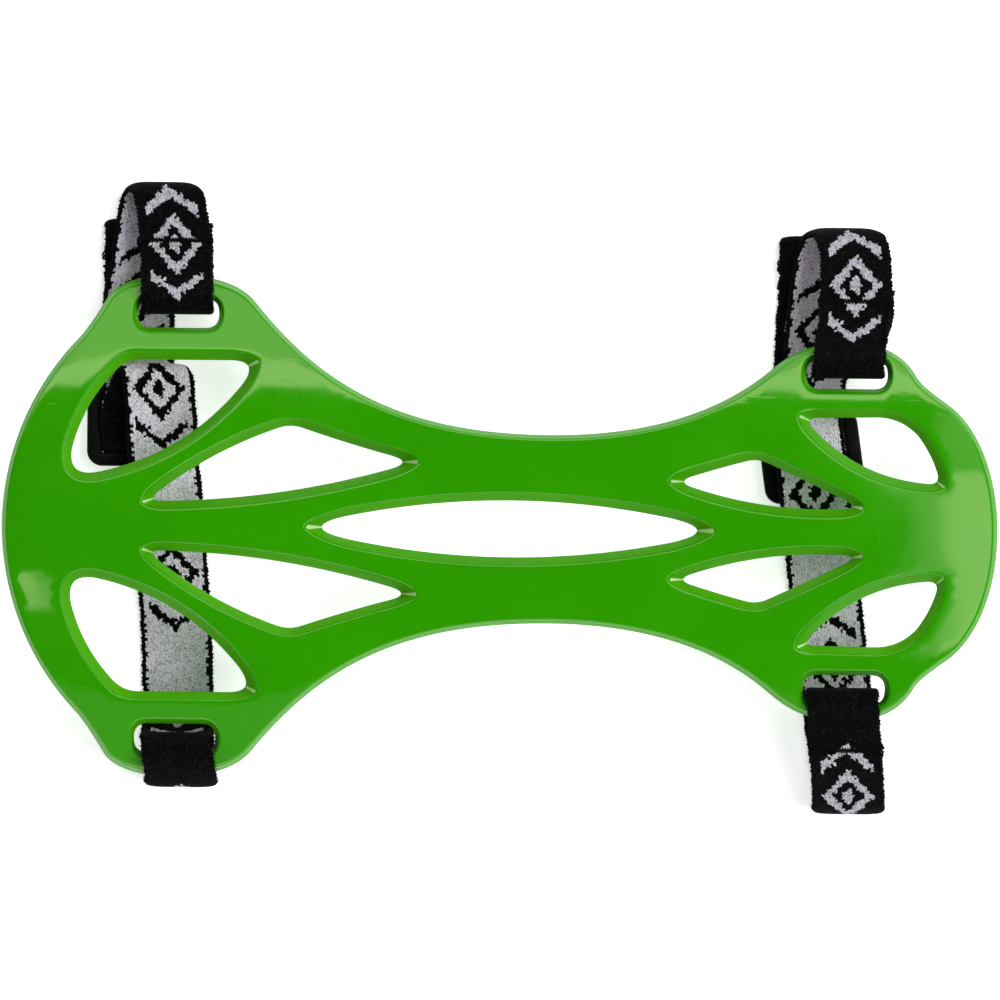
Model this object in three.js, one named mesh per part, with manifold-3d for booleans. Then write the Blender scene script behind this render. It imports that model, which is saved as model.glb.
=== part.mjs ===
// Archery arm guard: a moulded plastic plate, open worked with tapered holes and curved round the
// forearm, held by two elastic straps that each carry a slider buckle. It lies crown up on a table with
// its straps slack underneath. Millimetres, +X towards the wrist, +Y across the arm, +Z up.
import * as THREE from "three";
import { mergeVertices } from "three/addons/utils/BufferGeometryUtils.js";
import Module from "manifold-3d";

const wasm = await Module();
wasm.setup();

// Plate: overall size and curvature
const PLATE_LENGTH = 175;
const PLATE_THICKNESS = 2.5;
const TROUGH_RADIUS = 80;
const CROWN_HEIGHT = 22.8;
const END_DROP = 2.5;
const END_DROP_POWER = 4;
const RIM_WIDTH = 1.6;
const SLOT_RIM_WIDTH = 0.8;
const EDGE_RIM_WIDTH = 0.7;
const BLANK_MARGIN = 4;
const BLANK_HALF_WIDTH = 48;
const BLANK_CELLS_X = 14;
const BLANK_CELLS_Y = 24;
const CUT_REACH = 5;
const CUT_OVERLAP = 0.2;
const SECTION_STEPS = 9;
const SIDE_STEPS = 7;
const CORNER_STEPS = 5;

// Straps: elastic band and the layers it lies in
const STRAP_WIDTH = 12.6;
const STRAP_THICKNESS = 1.2;
const LAYER_GAP = 0.3;
const SEAM_GAP = 0.1;
const FLOOR_LAYER = STRAP_THICKNESS / 2;
const SECOND_LAYER = FLOOR_LAYER + STRAP_THICKNESS + LAYER_GAP;
const HEM_LAYER = FLOOR_LAYER + STRAP_THICKNESS + SEAM_GAP;
const OVER_HEM_LAYER = HEM_LAYER + STRAP_THICKNESS + LAYER_GAP + SEAM_GAP;
const HEM_LENGTH = 7;
const TACK_LENGTH = 2;
const TACK_THICKNESS = 1.5;
const TACK_INSET = 2;
const BEND_STEP = 22.5;

// Slider buckle: a frame with three cross bars
const SLIDER_WIDTH = 17.8;
const SLIDER_LENGTH = 15;
const SLIDER_THICKNESS = 2.5;
const RAIL_WIDTH = 2.2;
const BAR_SIZE = 2;
const BAR_CHAMFER = 0.5;
const FRAME_CHAMFER = 0.6;
const SEWN_BAR_FROM_END = 5;
const TOP_BAR_FROM_END = SLIDER_LENGTH - BAR_SIZE / 2;
const WRAP_SLACK = 0.1;
const BAR_WRAP = BAR_SIZE / 2 + LAYER_GAP + STRAP_THICKNESS / 2 + WRAP_SLACK;
const SLIDER_HEIGHT = FLOOR_LAYER + BAR_WRAP;
const BAR_SEAM_RISE = 0.75;

const HALF_LENGTH = PLATE_LENGTH / 2;
const RADIANS = Math.PI / 180;

// Half outline of the plate, elbow tip to wrist tip: cubic sections, each with its two handles
const OUTLINE_START = { x: -HALF_LENGTH, y: 0 };
const OUTLINE = [
  { part: "elbow end", ax: -87.5, ay: 12.2, bx: -82.8, by: 24.1, x: -74.4, y: 32.9 },
  { part: "elbow flank", ax: -73.2, ay: 34.1, bx: -70.7, by: 38.0, x: -69.6, y: 40.0 },
  { part: "elbow tab, outer", ax: -68.1, ay: 42.7, bx: -63.5, by: 44.3, x: -57.8, y: 44.3 },
  { part: "elbow tab, inner", ax: -52.5, ay: 44.3, bx: -46.8, by: 43.4, x: -43.6, y: 39.9 },
  { part: "elbow to waist", ax: -32.9, ay: 26.6, bx: -19.5, by: 16.6, x: 8.5, y: 16.6 },
  { part: "waist to wrist", ax: 23.5, ay: 16.6, bx: 37.2, by: 19.8, x: 47.2, y: 28.2 },
  { part: "wrist tab, inner", ax: 50.5, ay: 31.0, bx: 54.0, by: 33.4, x: 61.0, y: 33.4 },
  { part: "wrist tab, outer", ax: 66.5, ay: 33.4, bx: 70.8, by: 31.6, x: 73.0, y: 27.6 },
  { part: "wrist flank", ax: 74.0, ay: 25.8, bx: 76.3, by: 24.4, x: 78.2, y: 22.9 },
  { part: "wrist end", ax: 83.2, ay: 19.8, bx: 87.5, by: 11.5, x: 87.5, y: 0 },
];

// Holes of the upper half, by the sharp corners of their lower opening, anticlockwise. soften is how far
// the rounding reaches along each side, tip how much further the rim reaches at the corner, and bulge how
// far the side to the next corner bows outwards.
const ELBOW_WINDOW = [
  { x: -76.0, y: 8.6, soften: 5.0, tip: 0, bulge: 4.7 },
  { x: -42.6, y: 29.1, soften: 5.0, tip: 0.9, bulge: 0 },
  { x: -65.8, y: 29.1, soften: 2.6, tip: 0.2, bulge: 2.2 },
];
const ELBOW_VENT = [
  { x: -61.8, y: 4.4, soften: 2.6, tip: 0.9, bulge: 1.8 },
  { x: -15.4, y: 11.6, soften: 4.0, tip: 1.6, bulge: -0.25 },
  { x: -36.8, y: 18.0, soften: 2.2, tip: 0, bulge: 1.4 },
];
const WRIST_VENT = [
  { x: 31.2, y: 8.6, soften: 2.6, tip: 1.2, bulge: 1.8 },
  { x: 63.0, y: 4.3, soften: 2.8, tip: 0.8, bulge: 0.1 },
  { x: 45.2, y: 12.7, soften: 2.0, tip: 0, bulge: 0.15 },
];
const WRIST_WINDOW = [
  { x: 53.4, y: 19.9, soften: 2.4, tip: 0.8, bulge: 3.0 },
  { x: 77.2, y: 8.6, soften: 2.0, tip: 0.5, bulge: 1.1 },
  { x: 70.2, y: 20.2, soften: 4.4, tip: 0, bulge: 0 },
];
const MIDDLE_VENT = [
  { x: -35.0, y: 0, soften: 8.0, tip: 1.6, bulge: 4.9 },
  { x: 38.8, y: 0, soften: 8.8, tip: 1.9, bulge: 4.9 },
];

// Strap slots of the upper half
const SLOT_LENGTH = 14.2;
const SLOT_WIDTH = 5;
const SLOT_SOFTEN = 2.4;
const ELBOW_SLOT = { x: -56.9, y: 37.4 };
const WRIST_SLOT = { x: 60.8, y: 27.7 };

// Slider places: the middle of the frame's lower end, and its turn in plan
const ELBOW_SLIDER = { x: -64.1, y: 10.4, turn: 0 };
const WRIST_SLIDER = { x: 55.9, y: 5.7, turn: 8 };

// Elbow strap, upper piece: sewn end, under the tab, up through the slot, over the tab, round the open
// loop, back underneath to the slider's top bar and out again as the free end
const ELBOW_UPPER_END = { x: -63.9, y: 54.2, z: FLOOR_LAYER };
const ELBOW_UPPER = [
  { x: -57.3, y: 53.4, z: 7.8 },
  { x: -57.3, y: 48.6, z: 7.6 },
  { x: -57.2, y: 46.4, z: 6.0 },
  { x: -57.2, y: 44.9, z: 4.9 },
  { x: -57.2, y: 43.6, z: 5.0 },
  { x: -57.2, y: 40.1, z: 6.7 },
  { x: -57.2, y: 38.0, z: 8.7 },
  { x: -57.2, y: 37.9, z: 10.5 },
  { x: -57.2, y: 38.8, z: 12.0 },
  { x: -57.2, y: 40.5, z: 12.6 },
  { x: -57.2, y: 42.8, z: 11.2 },
  { x: -57.3, y: 44.6, z: 10.1 },
  { x: -57.5, y: 48.6, z: 9.4 },
  { x: -58.1, y: 54.0, z: 9.1 },
  { x: -58.6, y: 57.4, z: 6.2, bend: 2.6, from: 90, to: -90, drift: -2.7 },
  { x: -61.9, y: 53.4, z: OVER_HEM_LAYER },
  { x: -62.8, y: 46.8, z: OVER_HEM_LAYER },
  { x: -63.6, y: 43.2, z: 2.6 },
  { x: -64.1, y: 40.0, z: SECOND_LAYER },
  { x: -64.1, y: 31.5, z: SECOND_LAYER },
  { x: -64.1, y: 27.4, z: 4.2 },
  roundBar(ELBOW_SLIDER, TOP_BAR_FROM_END, 90, 270),
  ELBOW_UPPER_END,
];
const ELBOW_UPPER_SEAM = { x: -57.5, y: 50.3, z: 8.5 };

// Elbow strap, lower piece: sewn end, up through the slot, close round the tab, along the table, up over
// the slider to a slack fold, and down to a sewn loop round the slider's middle bar
const ELBOW_LOWER = [
  { x: -56.6, y: -29.9, z: HEM_LAYER },
  { x: -56.6, y: -33.2, z: HEM_LAYER },
  { x: -56.6, y: -35.8, z: 3.0 },
  { x: -56.6, y: -36.9, z: 5.5 },
  { x: -56.6, y: -37.0, z: 9.0 },
  { x: -56.6, y: -37.6, z: 11.4 },
  { x: -56.5, y: -39.2, z: 12.9 },
  { x: -56.2, y: -41.4, z: 12.35 },
  { x: -55.8, y: -43.6, z: 10.9 },
  { x: -55.7, y: -45.2, z: 9.0 },
  { x: -55.7, y: -45.5, z: 6.6 },
  { x: -55.8, y: -45.0, z: 3.6 },
  { x: -56.0, y: -43.6, z: 1.5 },
  { x: -56.2, y: -41.2, z: FLOOR_LAYER },
  { x: -56.5, y: -30.0, z: FLOOR_LAYER },
  { x: -57.1, y: -16.0, z: FLOOR_LAYER },
  { x: -57.9, y: -5.0, z: 2.4 },
  { x: -58.7, y: 5.0, z: 6.4 },
  { x: -59.2, y: 10.0, z: 8.2 },
  { x: -59.9, y: 20.0, z: 8.9 },
  { x: -60.6, y: 27.0, z: 7.6, bend: 1.0, from: 90, to: -90 },
  { x: -62.6, y: 23.8, z: 6.3 },
  { x: -64.0, y: 19.4, z: 5.3 },
  roundBar(ELBOW_SLIDER, SEWN_BAR_FROM_END, 90, 380),
];
const ELBOW_LOWER_SEAM = { x: -56.6, y: -31.6, z: (FLOOR_LAYER + HEM_LAYER) / 2 };

// Wrist strap, upper piece
const WRIST_UPPER_END = { x: 55.2, y: 52.2, z: FLOOR_LAYER };
const WRIST_UPPER = [
  { x: 62.8, y: 42.5, z: 12.57 },
  { x: 62.5, y: 37.0, z: 13.5 },
  { x: 61.8, y: 35.0, z: 12.0 },
  { x: 61.4, y: 33.6, z: 11.1 },
  { x: 61.1, y: 32.2, z: 11.3 },
  { x: 61.0, y: 29.2, z: 12.5 },
  { x: 61.0, y: 27.75, z: 14.3 },
  { x: 61.0, y: 27.6, z: 16.0 },
  { x: 61.0, y: 28.3, z: 17.4 },
  { x: 61.1, y: 30.0, z: 17.9 },
  { x: 61.3, y: 32.2, z: 16.8 },
  { x: 61.6, y: 34.0, z: 15.9 },
  { x: 62.0, y: 37.0, z: 15.0 },
  { x: 62.3, y: 42.5, z: 13.9 },
  { x: 61.9, y: 48.6, z: 7.9, bend: 4.4, from: 70, to: -90, drift: -4.0 },
  { x: 57.3, y: 44.6, z: OVER_HEM_LAYER },
  { x: 56.6, y: 39.0, z: SECOND_LAYER },
  { x: 56.0, y: 31.0, z: SECOND_LAYER, lean: 4 },
  { x: 54.9, y: 26.0, z: 2.3, lean: 8 },
  { x: 54.4, y: 22.4, z: 4.2, lean: 8 },
  roundBar(WRIST_SLIDER, TOP_BAR_FROM_END, 90, 270),
  { x: 54.3, y: 26.0, z: FLOOR_LAYER, lean: 4 },
  WRIST_UPPER_END,
];
const WRIST_UPPER_SEAM = { x: 62.4, y: 40.4, z: 13.62, tilt: -11 };

// Wrist strap, lower piece
const WRIST_LOWER = [
  { x: 60.7, y: -40.6, z: 12.05 },
  { x: 60.1, y: -37.0, z: 13.5 },
  { x: 59.9, y: -35.0, z: 12.0 },
  { x: 60.0, y: -33.6, z: 11.1 },
  { x: 60.3, y: -32.2, z: 11.3 },
  { x: 60.5, y: -29.3, z: 12.7 },
  { x: 60.5, y: -28.2, z: 14.3 },
  { x: 60.5, y: -28.0, z: 16.0 },
  { x: 60.5, y: -28.7, z: 17.4 },
  { x: 60.6, y: -30.2, z: 17.9 },
  { x: 60.8, y: -32.2, z: 16.8 },
  { x: 60.9, y: -34.0, z: 15.9 },
  { x: 61.2, y: -37.0, z: 14.9 },
  { x: 61.5, y: -41.0, z: 13.3 },
  { x: 61.9, y: -44.6, z: 5.2, bend: 4.6, from: 120, to: 270 },
  { x: 60.9, y: -36.0, z: FLOOR_LAYER },
  { x: 59.4, y: -26.0, z: FLOOR_LAYER },
  { x: 57.5, y: -10.0, z: FLOOR_LAYER, lean: 6 },
  { x: 56.6, y: -3.0, z: 2.4, lean: 6 },
  { x: 55.9, y: 3.0, z: 6.6, lean: 6 },
  { x: 55.3, y: 8.5, z: 8.4, lean: 7 },
  { x: 54.4, y: 15.5, z: 8.9, lean: 7 },
  { x: 53.4, y: 22.4, z: 7.6, lean: 8, bend: 1.0, from: 90, to: -90 },
  { x: 53.7, y: 19.0, z: 6.3, lean: 8 },
  { x: 54.4, y: 14.6, z: 5.3, lean: 8 },
  roundBar(WRIST_SLIDER, SEWN_BAR_FROM_END, 90, 380),
];
const WRIST_LOWER_SEAM = { x: 60.8, y: -38.2, z: 13.72, tilt: 22 };

// Point on a slider's centre line, measured up from its lower end
function onSlider(slider, along) {
  return {
    x: slider.x - along * Math.sin(slider.turn * RADIANS),
    y: slider.y + along * Math.cos(slider.turn * RADIANS),
  };
}

// Height of the plate's outer face, or of the inner face below it, over a point of the plan
function plateHeight(x, y, depth) {
  const radius = TROUGH_RADIUS - depth;
  const drop = END_DROP * Math.abs(x / HALF_LENGTH) ** END_DROP_POWER;
  return CROWN_HEIGHT - TROUGH_RADIUS + Math.sqrt(radius * radius - y * y) - drop;
}

// A closed geometry as a solid for joining and cutting
function solidOf(geometry) {
  const bare = geometry.clone();
  bare.deleteAttribute("normal");
  bare.deleteAttribute("uv");
  const merged = mergeVertices(bare, 1e-4);
  const mesh = new wasm.Mesh({
    numProp: 3,
    vertProperties: merged.attributes.position.array,
    triVerts: new Uint32Array(merged.index.array),
  });
  return new wasm.Manifold(mesh);
}

// The same from points and triangles
function solidFrom(positions, triangles) {
  const geometry = new THREE.BufferGeometry();
  geometry.setAttribute("position", new THREE.Float32BufferAttribute(positions, 3));
  geometry.setIndex(triangles);
  return solidOf(geometry);
}

function geometryFrom(solid) {
  const mesh = solid.getMesh();
  const geometry = new THREE.BufferGeometry();
  geometry.setAttribute("position", new THREE.Float32BufferAttribute(mesh.vertProperties, 3));
  geometry.setIndex(Array.from(mesh.triVerts));
  geometry.computeVertexNormals();
  return geometry;
}

// Solid through a stack of rings of equal length, from the lowest up, all anticlockwise from above
function solidThrough(rings) {
  const count = rings[0].length;
  const positions = rings.flat().flatMap((p) => [p.x, p.y, p.z]);
  const lid = (ring) => ring.map((p) => new THREE.Vector2(p.x, p.y));
  const top = count * (rings.length - 1);
  const triangles = [];
  for (const [a, b, c] of THREE.ShapeUtils.triangulateShape(lid(rings[0]), [])) {
    triangles.push(a, c, b);
  }
  for (const [a, b, c] of THREE.ShapeUtils.triangulateShape(lid(rings.at(-1)), [])) {
    triangles.push(top + a, top + b, top + c);
  }
  for (let level = 0; level < top; level += count) {
    for (let i = 0; i < count; i++) {
      const next = (i + 1) % count;
      triangles.push(level + i, level + next, level + count + next);
      triangles.push(level + i, level + count + next, level + count + i);
    }
  }
  return solidFrom(positions, triangles);
}

// Outline points with their outward direction, so that they can be moved in or out
function outwardNormals(points) {
  return points.map((p, i) => {
    const before = points[(i + points.length - 1) % points.length];
    const after = points[(i + 1) % points.length];
    const along = new THREE.Vector2(after.x - before.x, after.y - before.y).normalize();
    return new THREE.Vector2(along.y, -along.x);
  });
}

// Plan outline of the plate, anticlockwise
function plateOutline() {
  const upper = [];
  let from = OUTLINE_START;
  for (const section of OUTLINE) {
    const curve = new THREE.CubicBezierCurve(
      new THREE.Vector2(from.x, from.y),
      new THREE.Vector2(section.ax, section.ay),
      new THREE.Vector2(section.bx, section.by),
      new THREE.Vector2(section.x, section.y),
    );
    upper.push(...curve.getPoints(SECTION_STEPS).slice(0, -1));
    from = section;
  }
  const lower = upper.slice(1).map((p) => new THREE.Vector2(p.x, -p.y));
  const tip = new THREE.Vector2(HALF_LENGTH, 0);
  return [...lower, tip, ...upper.reverse()];
}

// Plan outline of a hole from its corner rows, each point with the push that carries it to the rim
function holeOutline(corners, rimWidth) {
  const sides = corners.map((corner, i) => {
    const next = corners[(i + 1) % corners.length];
    const along = new THREE.Vector2(next.x - corner.x, next.y - corner.y);
    const out = new THREE.Vector2(along.y, -along.x).normalize();
    const middle = new THREE.Vector2(corner.x, corner.y).addScaledVector(along, 0.5);
    middle.addScaledVector(out, 2 * corner.bulge);
    const curve = new THREE.QuadraticBezierCurve(
      new THREE.Vector2(corner.x, corner.y), middle, new THREE.Vector2(next.x, next.y),
    );
    return { curve, length: curve.getLength() };
  });
  const points = [];
  const tips = [];
  corners.forEach((corner, i) => {
    const side = sides[i];
    const before = sides[(i + corners.length - 1) % corners.length];
    const next = corners[(i + 1) % corners.length];
    const arrive = before.curve.getPointAt(1 - corner.soften / before.length);
    const leave = side.curve.getPointAt(corner.soften / side.length);
    const sharp = new THREE.Vector2(corner.x, corner.y);
    const blend = new THREE.QuadraticBezierCurve(arrive, sharp, leave);
    const middle = arrive.clone().add(leave).multiplyScalar(0.5);
    const outwards = sharp.clone().sub(middle).normalize();
    for (let k = 0; k < CORNER_STEPS; k++) {
      const share = k / CORNER_STEPS;
      points.push(blend.getPoint(share));
      tips.push(outwards.clone().multiplyScalar(corner.tip * 4 * share * (1 - share)));
    }
    const start = corner.soften / side.length;
    const end = 1 - next.soften / side.length;
    for (let k = 0; k < SIDE_STEPS; k++) {
      points.push(side.curve.getPointAt(start + ((end - start) * k) / SIDE_STEPS));
      tips.push(new THREE.Vector2());
    }
  });
  const pushes = outwardNormals(points).map((n, i) => n.multiplyScalar(rimWidth).add(tips[i]));
  return { points, pushes };
}

function slotCorners(slot) {
  const left = slot.x - SLOT_LENGTH / 2;
  const right = slot.x + SLOT_LENGTH / 2;
  const low = slot.y - SLOT_WIDTH / 2;
  const high = slot.y + SLOT_WIDTH / 2;
  const plain = { soften: SLOT_SOFTEN, tip: 0, bulge: 0 };
  return [
    { x: left, y: low, ...plain },
    { x: right, y: low, ...plain },
    { x: right, y: high, ...plain },
    { x: left, y: high, ...plain },
  ];
}

// The same corners on the lower half, still anticlockwise: each side's bulge goes with its new start
function mirrored(corners) {
  return corners
    .map((corner, i) => {
      const before = corners[(i + corners.length - 1) % corners.length];
      return { ...corner, y: -corner.y, bulge: before.bulge };
    })
    .reverse();
}

// Solid with walls that draft with the plate's thickness, from the outline just under the inner face to
// the outline plus its pushes just over the outer face
function draftedSolid({ points, pushes }) {
  const ring = (amount, height) => points.map((p, i) => {
    const x = p.x + pushes[i].x * amount;
    const y = p.y + pushes[i].y * amount;
    return new THREE.Vector3(x, y, height(x, y));
  });
  return solidThrough([
    ring(0, () => -CUT_REACH),
    ring(0, (x, y) => plateHeight(x, y, PLATE_THICKNESS) - CUT_OVERLAP),
    ring(1, (x, y) => plateHeight(x, y, 0) + CUT_OVERLAP),
    ring(1, () => CROWN_HEIGHT + CUT_REACH),
  ]);
}

// Curved sheet that the outline and the holes are cut from
function plateBlank() {
  const positions = [];
  const triangles = [];
  const columns = BLANK_CELLS_X + 1;
  const rows = BLANK_CELLS_Y + 1;
  const reach = HALF_LENGTH + BLANK_MARGIN;
  for (const depth of [0, PLATE_THICKNESS]) {
    for (let j = 0; j < rows; j++) {
      for (let i = 0; i < columns; i++) {
        const x = -reach + (2 * reach * i) / BLANK_CELLS_X;
        const y = -BLANK_HALF_WIDTH + (2 * BLANK_HALF_WIDTH * j) / BLANK_CELLS_Y;
        positions.push(x, y, plateHeight(x, y, depth));
      }
    }
  }
  const top = (i, j) => j * columns + i;
  const bottom = (i, j) => columns * rows + j * columns + i;
  const quad = (a, b, c, d) => triangles.push(a, b, c, a, c, d);
  for (let j = 0; j < BLANK_CELLS_Y; j++) {
    for (let i = 0; i < BLANK_CELLS_X; i++) {
      quad(top(i, j), top(i + 1, j), top(i + 1, j + 1), top(i, j + 1));
      quad(bottom(i, j), bottom(i, j + 1), bottom(i + 1, j + 1), bottom(i + 1, j));
    }
    quad(top(0, j), top(0, j + 1), bottom(0, j + 1), bottom(0, j));
    quad(top(columns - 1, j + 1), top(columns - 1, j), bottom(columns - 1, j), bottom(columns - 1, j + 1));
  }
  for (let i = 0; i < BLANK_CELLS_X; i++) {
    quad(top(i + 1, 0), top(i, 0), bottom(i, 0), bottom(i + 1, 0));
    quad(top(i, rows - 1), top(i + 1, rows - 1), bottom(i + 1, rows - 1), bottom(i, rows - 1));
  }
  return solidFrom(positions, triangles);
}

function guardPlate() {
  const outline = plateOutline();
  const inwards = outwardNormals(outline).map((n) => n.multiplyScalar(-EDGE_RIM_WIDTH));
  let plate = plateBlank().intersect(draftedSolid({ points: outline, pushes: inwards }));
  const paired = [
    [ELBOW_WINDOW, RIM_WIDTH],
    [ELBOW_VENT, RIM_WIDTH],
    [WRIST_VENT, RIM_WIDTH],
    [WRIST_WINDOW, RIM_WIDTH],
    [slotCorners(ELBOW_SLOT), SLOT_RIM_WIDTH],
    [slotCorners(WRIST_SLOT), SLOT_RIM_WIDTH],
  ];
  for (const [corners, rimWidth] of paired) {
    plate = plate.subtract(draftedSolid(holeOutline(corners, rimWidth)));
    plate = plate.subtract(draftedSolid(holeOutline(mirrored(corners), rimWidth)));
  }
  return plate.subtract(draftedSolid(holeOutline(MIDDLE_VENT, RIM_WIDTH)));
}

// Stations along a strap: a row is a point, or the centre of a bend of that radius from one angle to
// another, measured from +Y towards +Z. lean turns the band's width in plan, drift carries a bend along X.
function stations(rows) {
  return rows.flatMap((row) => {
    const lean = (row.lean ?? 0) * RADIANS;
    const across = new THREE.Vector3(Math.cos(lean), Math.sin(lean), 0);
    if (row.bend === undefined) {
      return [{ centre: new THREE.Vector3(row.x, row.y, row.z), across }];
    }
    const steps = Math.ceil(Math.abs(row.to - row.from) / BEND_STEP);
    return Array.from({ length: steps + 1 }, (_, k) => {
      const angle = (row.from + ((row.to - row.from) * k) / steps) * RADIANS;
      const reach = row.bend * Math.cos(angle);
      const x = row.x + ((row.drift ?? 0) * k) / steps - reach * Math.sin(lean);
      const y = row.y + reach * Math.cos(lean);
      return { centre: new THREE.Vector3(x, y, row.z + row.bend * Math.sin(angle)), across };
    });
  });
}

// Flat band through a strap's rows, as a solid
function band(rows) {
  const along = stations(rows);
  const positions = [];
  const triangles = [];
  along.forEach(({ centre, across }, i) => {
    const ahead = along[Math.min(i + 1, along.length - 1)].centre;
    const behind = along[Math.max(i - 1, 0)].centre;
    const face = across.clone().cross(ahead.clone().sub(behind)).normalize();
    for (const [side, lift] of [[-1, -1], [1, -1], [1, 1], [-1, 1]]) {
      const corner = centre.clone();
      corner.addScaledVector(across, (side * STRAP_WIDTH) / 2);
      corner.addScaledVector(face, (lift * STRAP_THICKNESS) / 2);
      positions.push(corner.x, corner.y, corner.z);
    }
  });
  const last = 4 * (along.length - 1);
  for (let i = 0; i < last; i += 4) {
    for (let k = 0; k < 4; k++) {
      const next = (k + 1) % 4;
      triangles.push(i + k, i + 4 + next, i + next);
      triangles.push(i + k, i + 4 + k, i + 4 + next);
    }
  }
  triangles.push(0, 1, 2, 0, 2, 3);
  triangles.push(last, last + 2, last + 1, last, last + 3, last + 2);
  return solidFrom(positions, triangles);
}

// Block of sewn material that joins two layers of a strap
function tack({ x, y, z, lean = 0, tilt = 0 }) {
  const block = new THREE.BoxGeometry(STRAP_WIDTH - TACK_INSET, TACK_LENGTH, TACK_THICKNESS);
  block.rotateX(tilt * RADIANS);
  block.rotateZ(lean * RADIANS);
  block.translate(x, y, z);
  return solidOf(block);
}

// Hem at the free end of a strap: its last stretch lies doubled on itself
function hem(end) {
  const flap = new THREE.BoxGeometry(STRAP_WIDTH, HEM_LENGTH, STRAP_THICKNESS + SEAM_GAP * 2);
  flap.translate(end.x, end.y - HEM_LENGTH / 2, HEM_LAYER - SEAM_GAP);
  return solidOf(flap);
}

// Straight bar along X with this section of Y and Z, as a solid
function barAlongX(section, length) {
  const shape = new THREE.Shape(section.map(([y, z]) => new THREE.Vector2(-z, y)));
  const bar = new THREE.ExtrudeGeometry(shape, { depth: length, bevelEnabled: false, steps: 1 });
  bar.rotateY(Math.PI / 2);
  bar.translate(-length / 2, 0, 0);
  return bar;
}

// Section with its four corners cut off, centred on its axis
function chamferedSection(halfWidth, halfHeight, chamfer) {
  const w = halfWidth - chamfer;
  const h = halfHeight - chamfer;
  return [
    [halfWidth, -h], [halfWidth, h], [w, halfHeight], [-w, halfHeight],
    [-halfWidth, h], [-halfWidth, -h], [-w, -halfHeight], [w, -halfHeight],
  ];
}

// Slider frame: two rails, the end bars and the sewn bar, in plan up from its lower end
function sliderFrame({ x, y, turn }) {
  const railSection = chamferedSection(RAIL_WIDTH / 2, SLIDER_THICKNESS / 2, FRAME_CHAMFER);
  const barSection = chamferedSection(BAR_SIZE / 2, BAR_SIZE / 2, BAR_CHAMFER);
  const railPlace = (SLIDER_WIDTH - RAIL_WIDTH) / 2;
  const pieces = [-railPlace, railPlace].map((side) => {
    const rail = barAlongX(railSection, SLIDER_LENGTH);
    return rail.rotateZ(Math.PI / 2).translate(side, SLIDER_LENGTH / 2, 0);
  });
  for (const along of [BAR_SIZE / 2, SEWN_BAR_FROM_END, TOP_BAR_FROM_END]) {
    const bar = barAlongX(barSection, SLIDER_WIDTH - RAIL_WIDTH);
    pieces.push(bar.translate(0, along, 0));
  }
  const joined = pieces.map(solidOf).reduce((frame, piece) => frame.add(piece));
  const geometry = geometryFrom(joined);
  geometry.rotateZ(turn * RADIANS);
  return geometry.translate(x, y, SLIDER_HEIGHT);
}

// Rows of a bend round one of a slider's bars
function roundBar(slider, along, from, to) {
  return { ...onSlider(slider, along), z: SLIDER_HEIGHT, lean: slider.turn, bend: BAR_WRAP, from, to };
}

// Where the loop round a slider's middle bar is sewn to the layer over it
function barSeam(slider) {
  const place = onSlider(slider, SEWN_BAR_FROM_END + BAR_WRAP);
  return { ...place, z: SLIDER_HEIGHT + BAR_WRAP * BAR_SEAM_RISE, lean: slider.turn };
}

// A strap piece: its band, with the seams and the hem joined on
function strapPiece(rows, seams, freeEnd) {
  let piece = band(rows);
  for (const seam of seams) {
    piece = piece.add(tack(seam));
  }
  if (freeEnd) {
    piece = piece.add(hem(freeEnd));
  }
  return geometryFrom(piece);
}

// Materials
const GREEN_PLASTIC = new THREE.MeshStandardMaterial({ color: 0x2a9a0c, roughness: 0.18, metalness: 0 });
const BLACK_PLASTIC = new THREE.MeshStandardMaterial({ color: 0x101112, roughness: 0.4, metalness: 0 });
const KNIT_ELASTIC = new THREE.MeshStandardMaterial({ color: 0x3a3a3c, roughness: 0.95, metalness: 0 });

// Assembly
const group = new THREE.Group();

function addPiece(name, geometry, material) {
  const mesh = new THREE.Mesh(geometry, material);
  mesh.name = name;
  group.add(mesh);
}

const elbowUpper = strapPiece(ELBOW_UPPER, [ELBOW_UPPER_SEAM], ELBOW_UPPER_END);
const elbowLower = strapPiece(ELBOW_LOWER, [ELBOW_LOWER_SEAM, barSeam(ELBOW_SLIDER)]);
const wristUpper = strapPiece(WRIST_UPPER, [WRIST_UPPER_SEAM], WRIST_UPPER_END);
const wristLower = strapPiece(WRIST_LOWER, [WRIST_LOWER_SEAM, barSeam(WRIST_SLIDER)]);

addPiece("guard_plate", geometryFrom(guardPlate()), GREEN_PLASTIC);
addPiece("elbow_strap_upper", elbowUpper, KNIT_ELASTIC);
addPiece("elbow_strap_lower", elbowLower, KNIT_ELASTIC);
addPiece("elbow_slider", sliderFrame(ELBOW_SLIDER), BLACK_PLASTIC);
addPiece("wrist_strap_upper", wristUpper, KNIT_ELASTIC);
addPiece("wrist_strap_lower", wristLower, KNIT_ELASTIC);
addPiece("wrist_slider", sliderFrame(WRIST_SLIDER), BLACK_PLASTIC);

// The origin is under the middle of the whole, on the surface it lies on
const extent = new THREE.Box3().setFromObject(group);
const middle = extent.getCenter(new THREE.Vector3());
group.position.set(-middle.x, -middle.y, -extent.min.z);
group.updateMatrixWorld(true);

export default group;
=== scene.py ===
"""Looks of the archery arm guard: glossy moulded plate, knitted elastic straps and slider buckles.

Tables and builders are in millimetres, in the plate's own plan. Meshes are in metres, in the shared frame.
"""
import math
import random

import bmesh
import bpy
import numpy as np
from mathutils import Matrix, Vector
from mathutils.geometry import delaunay_2d_cdt
from mathutils.kdtree import KDTree


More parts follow.
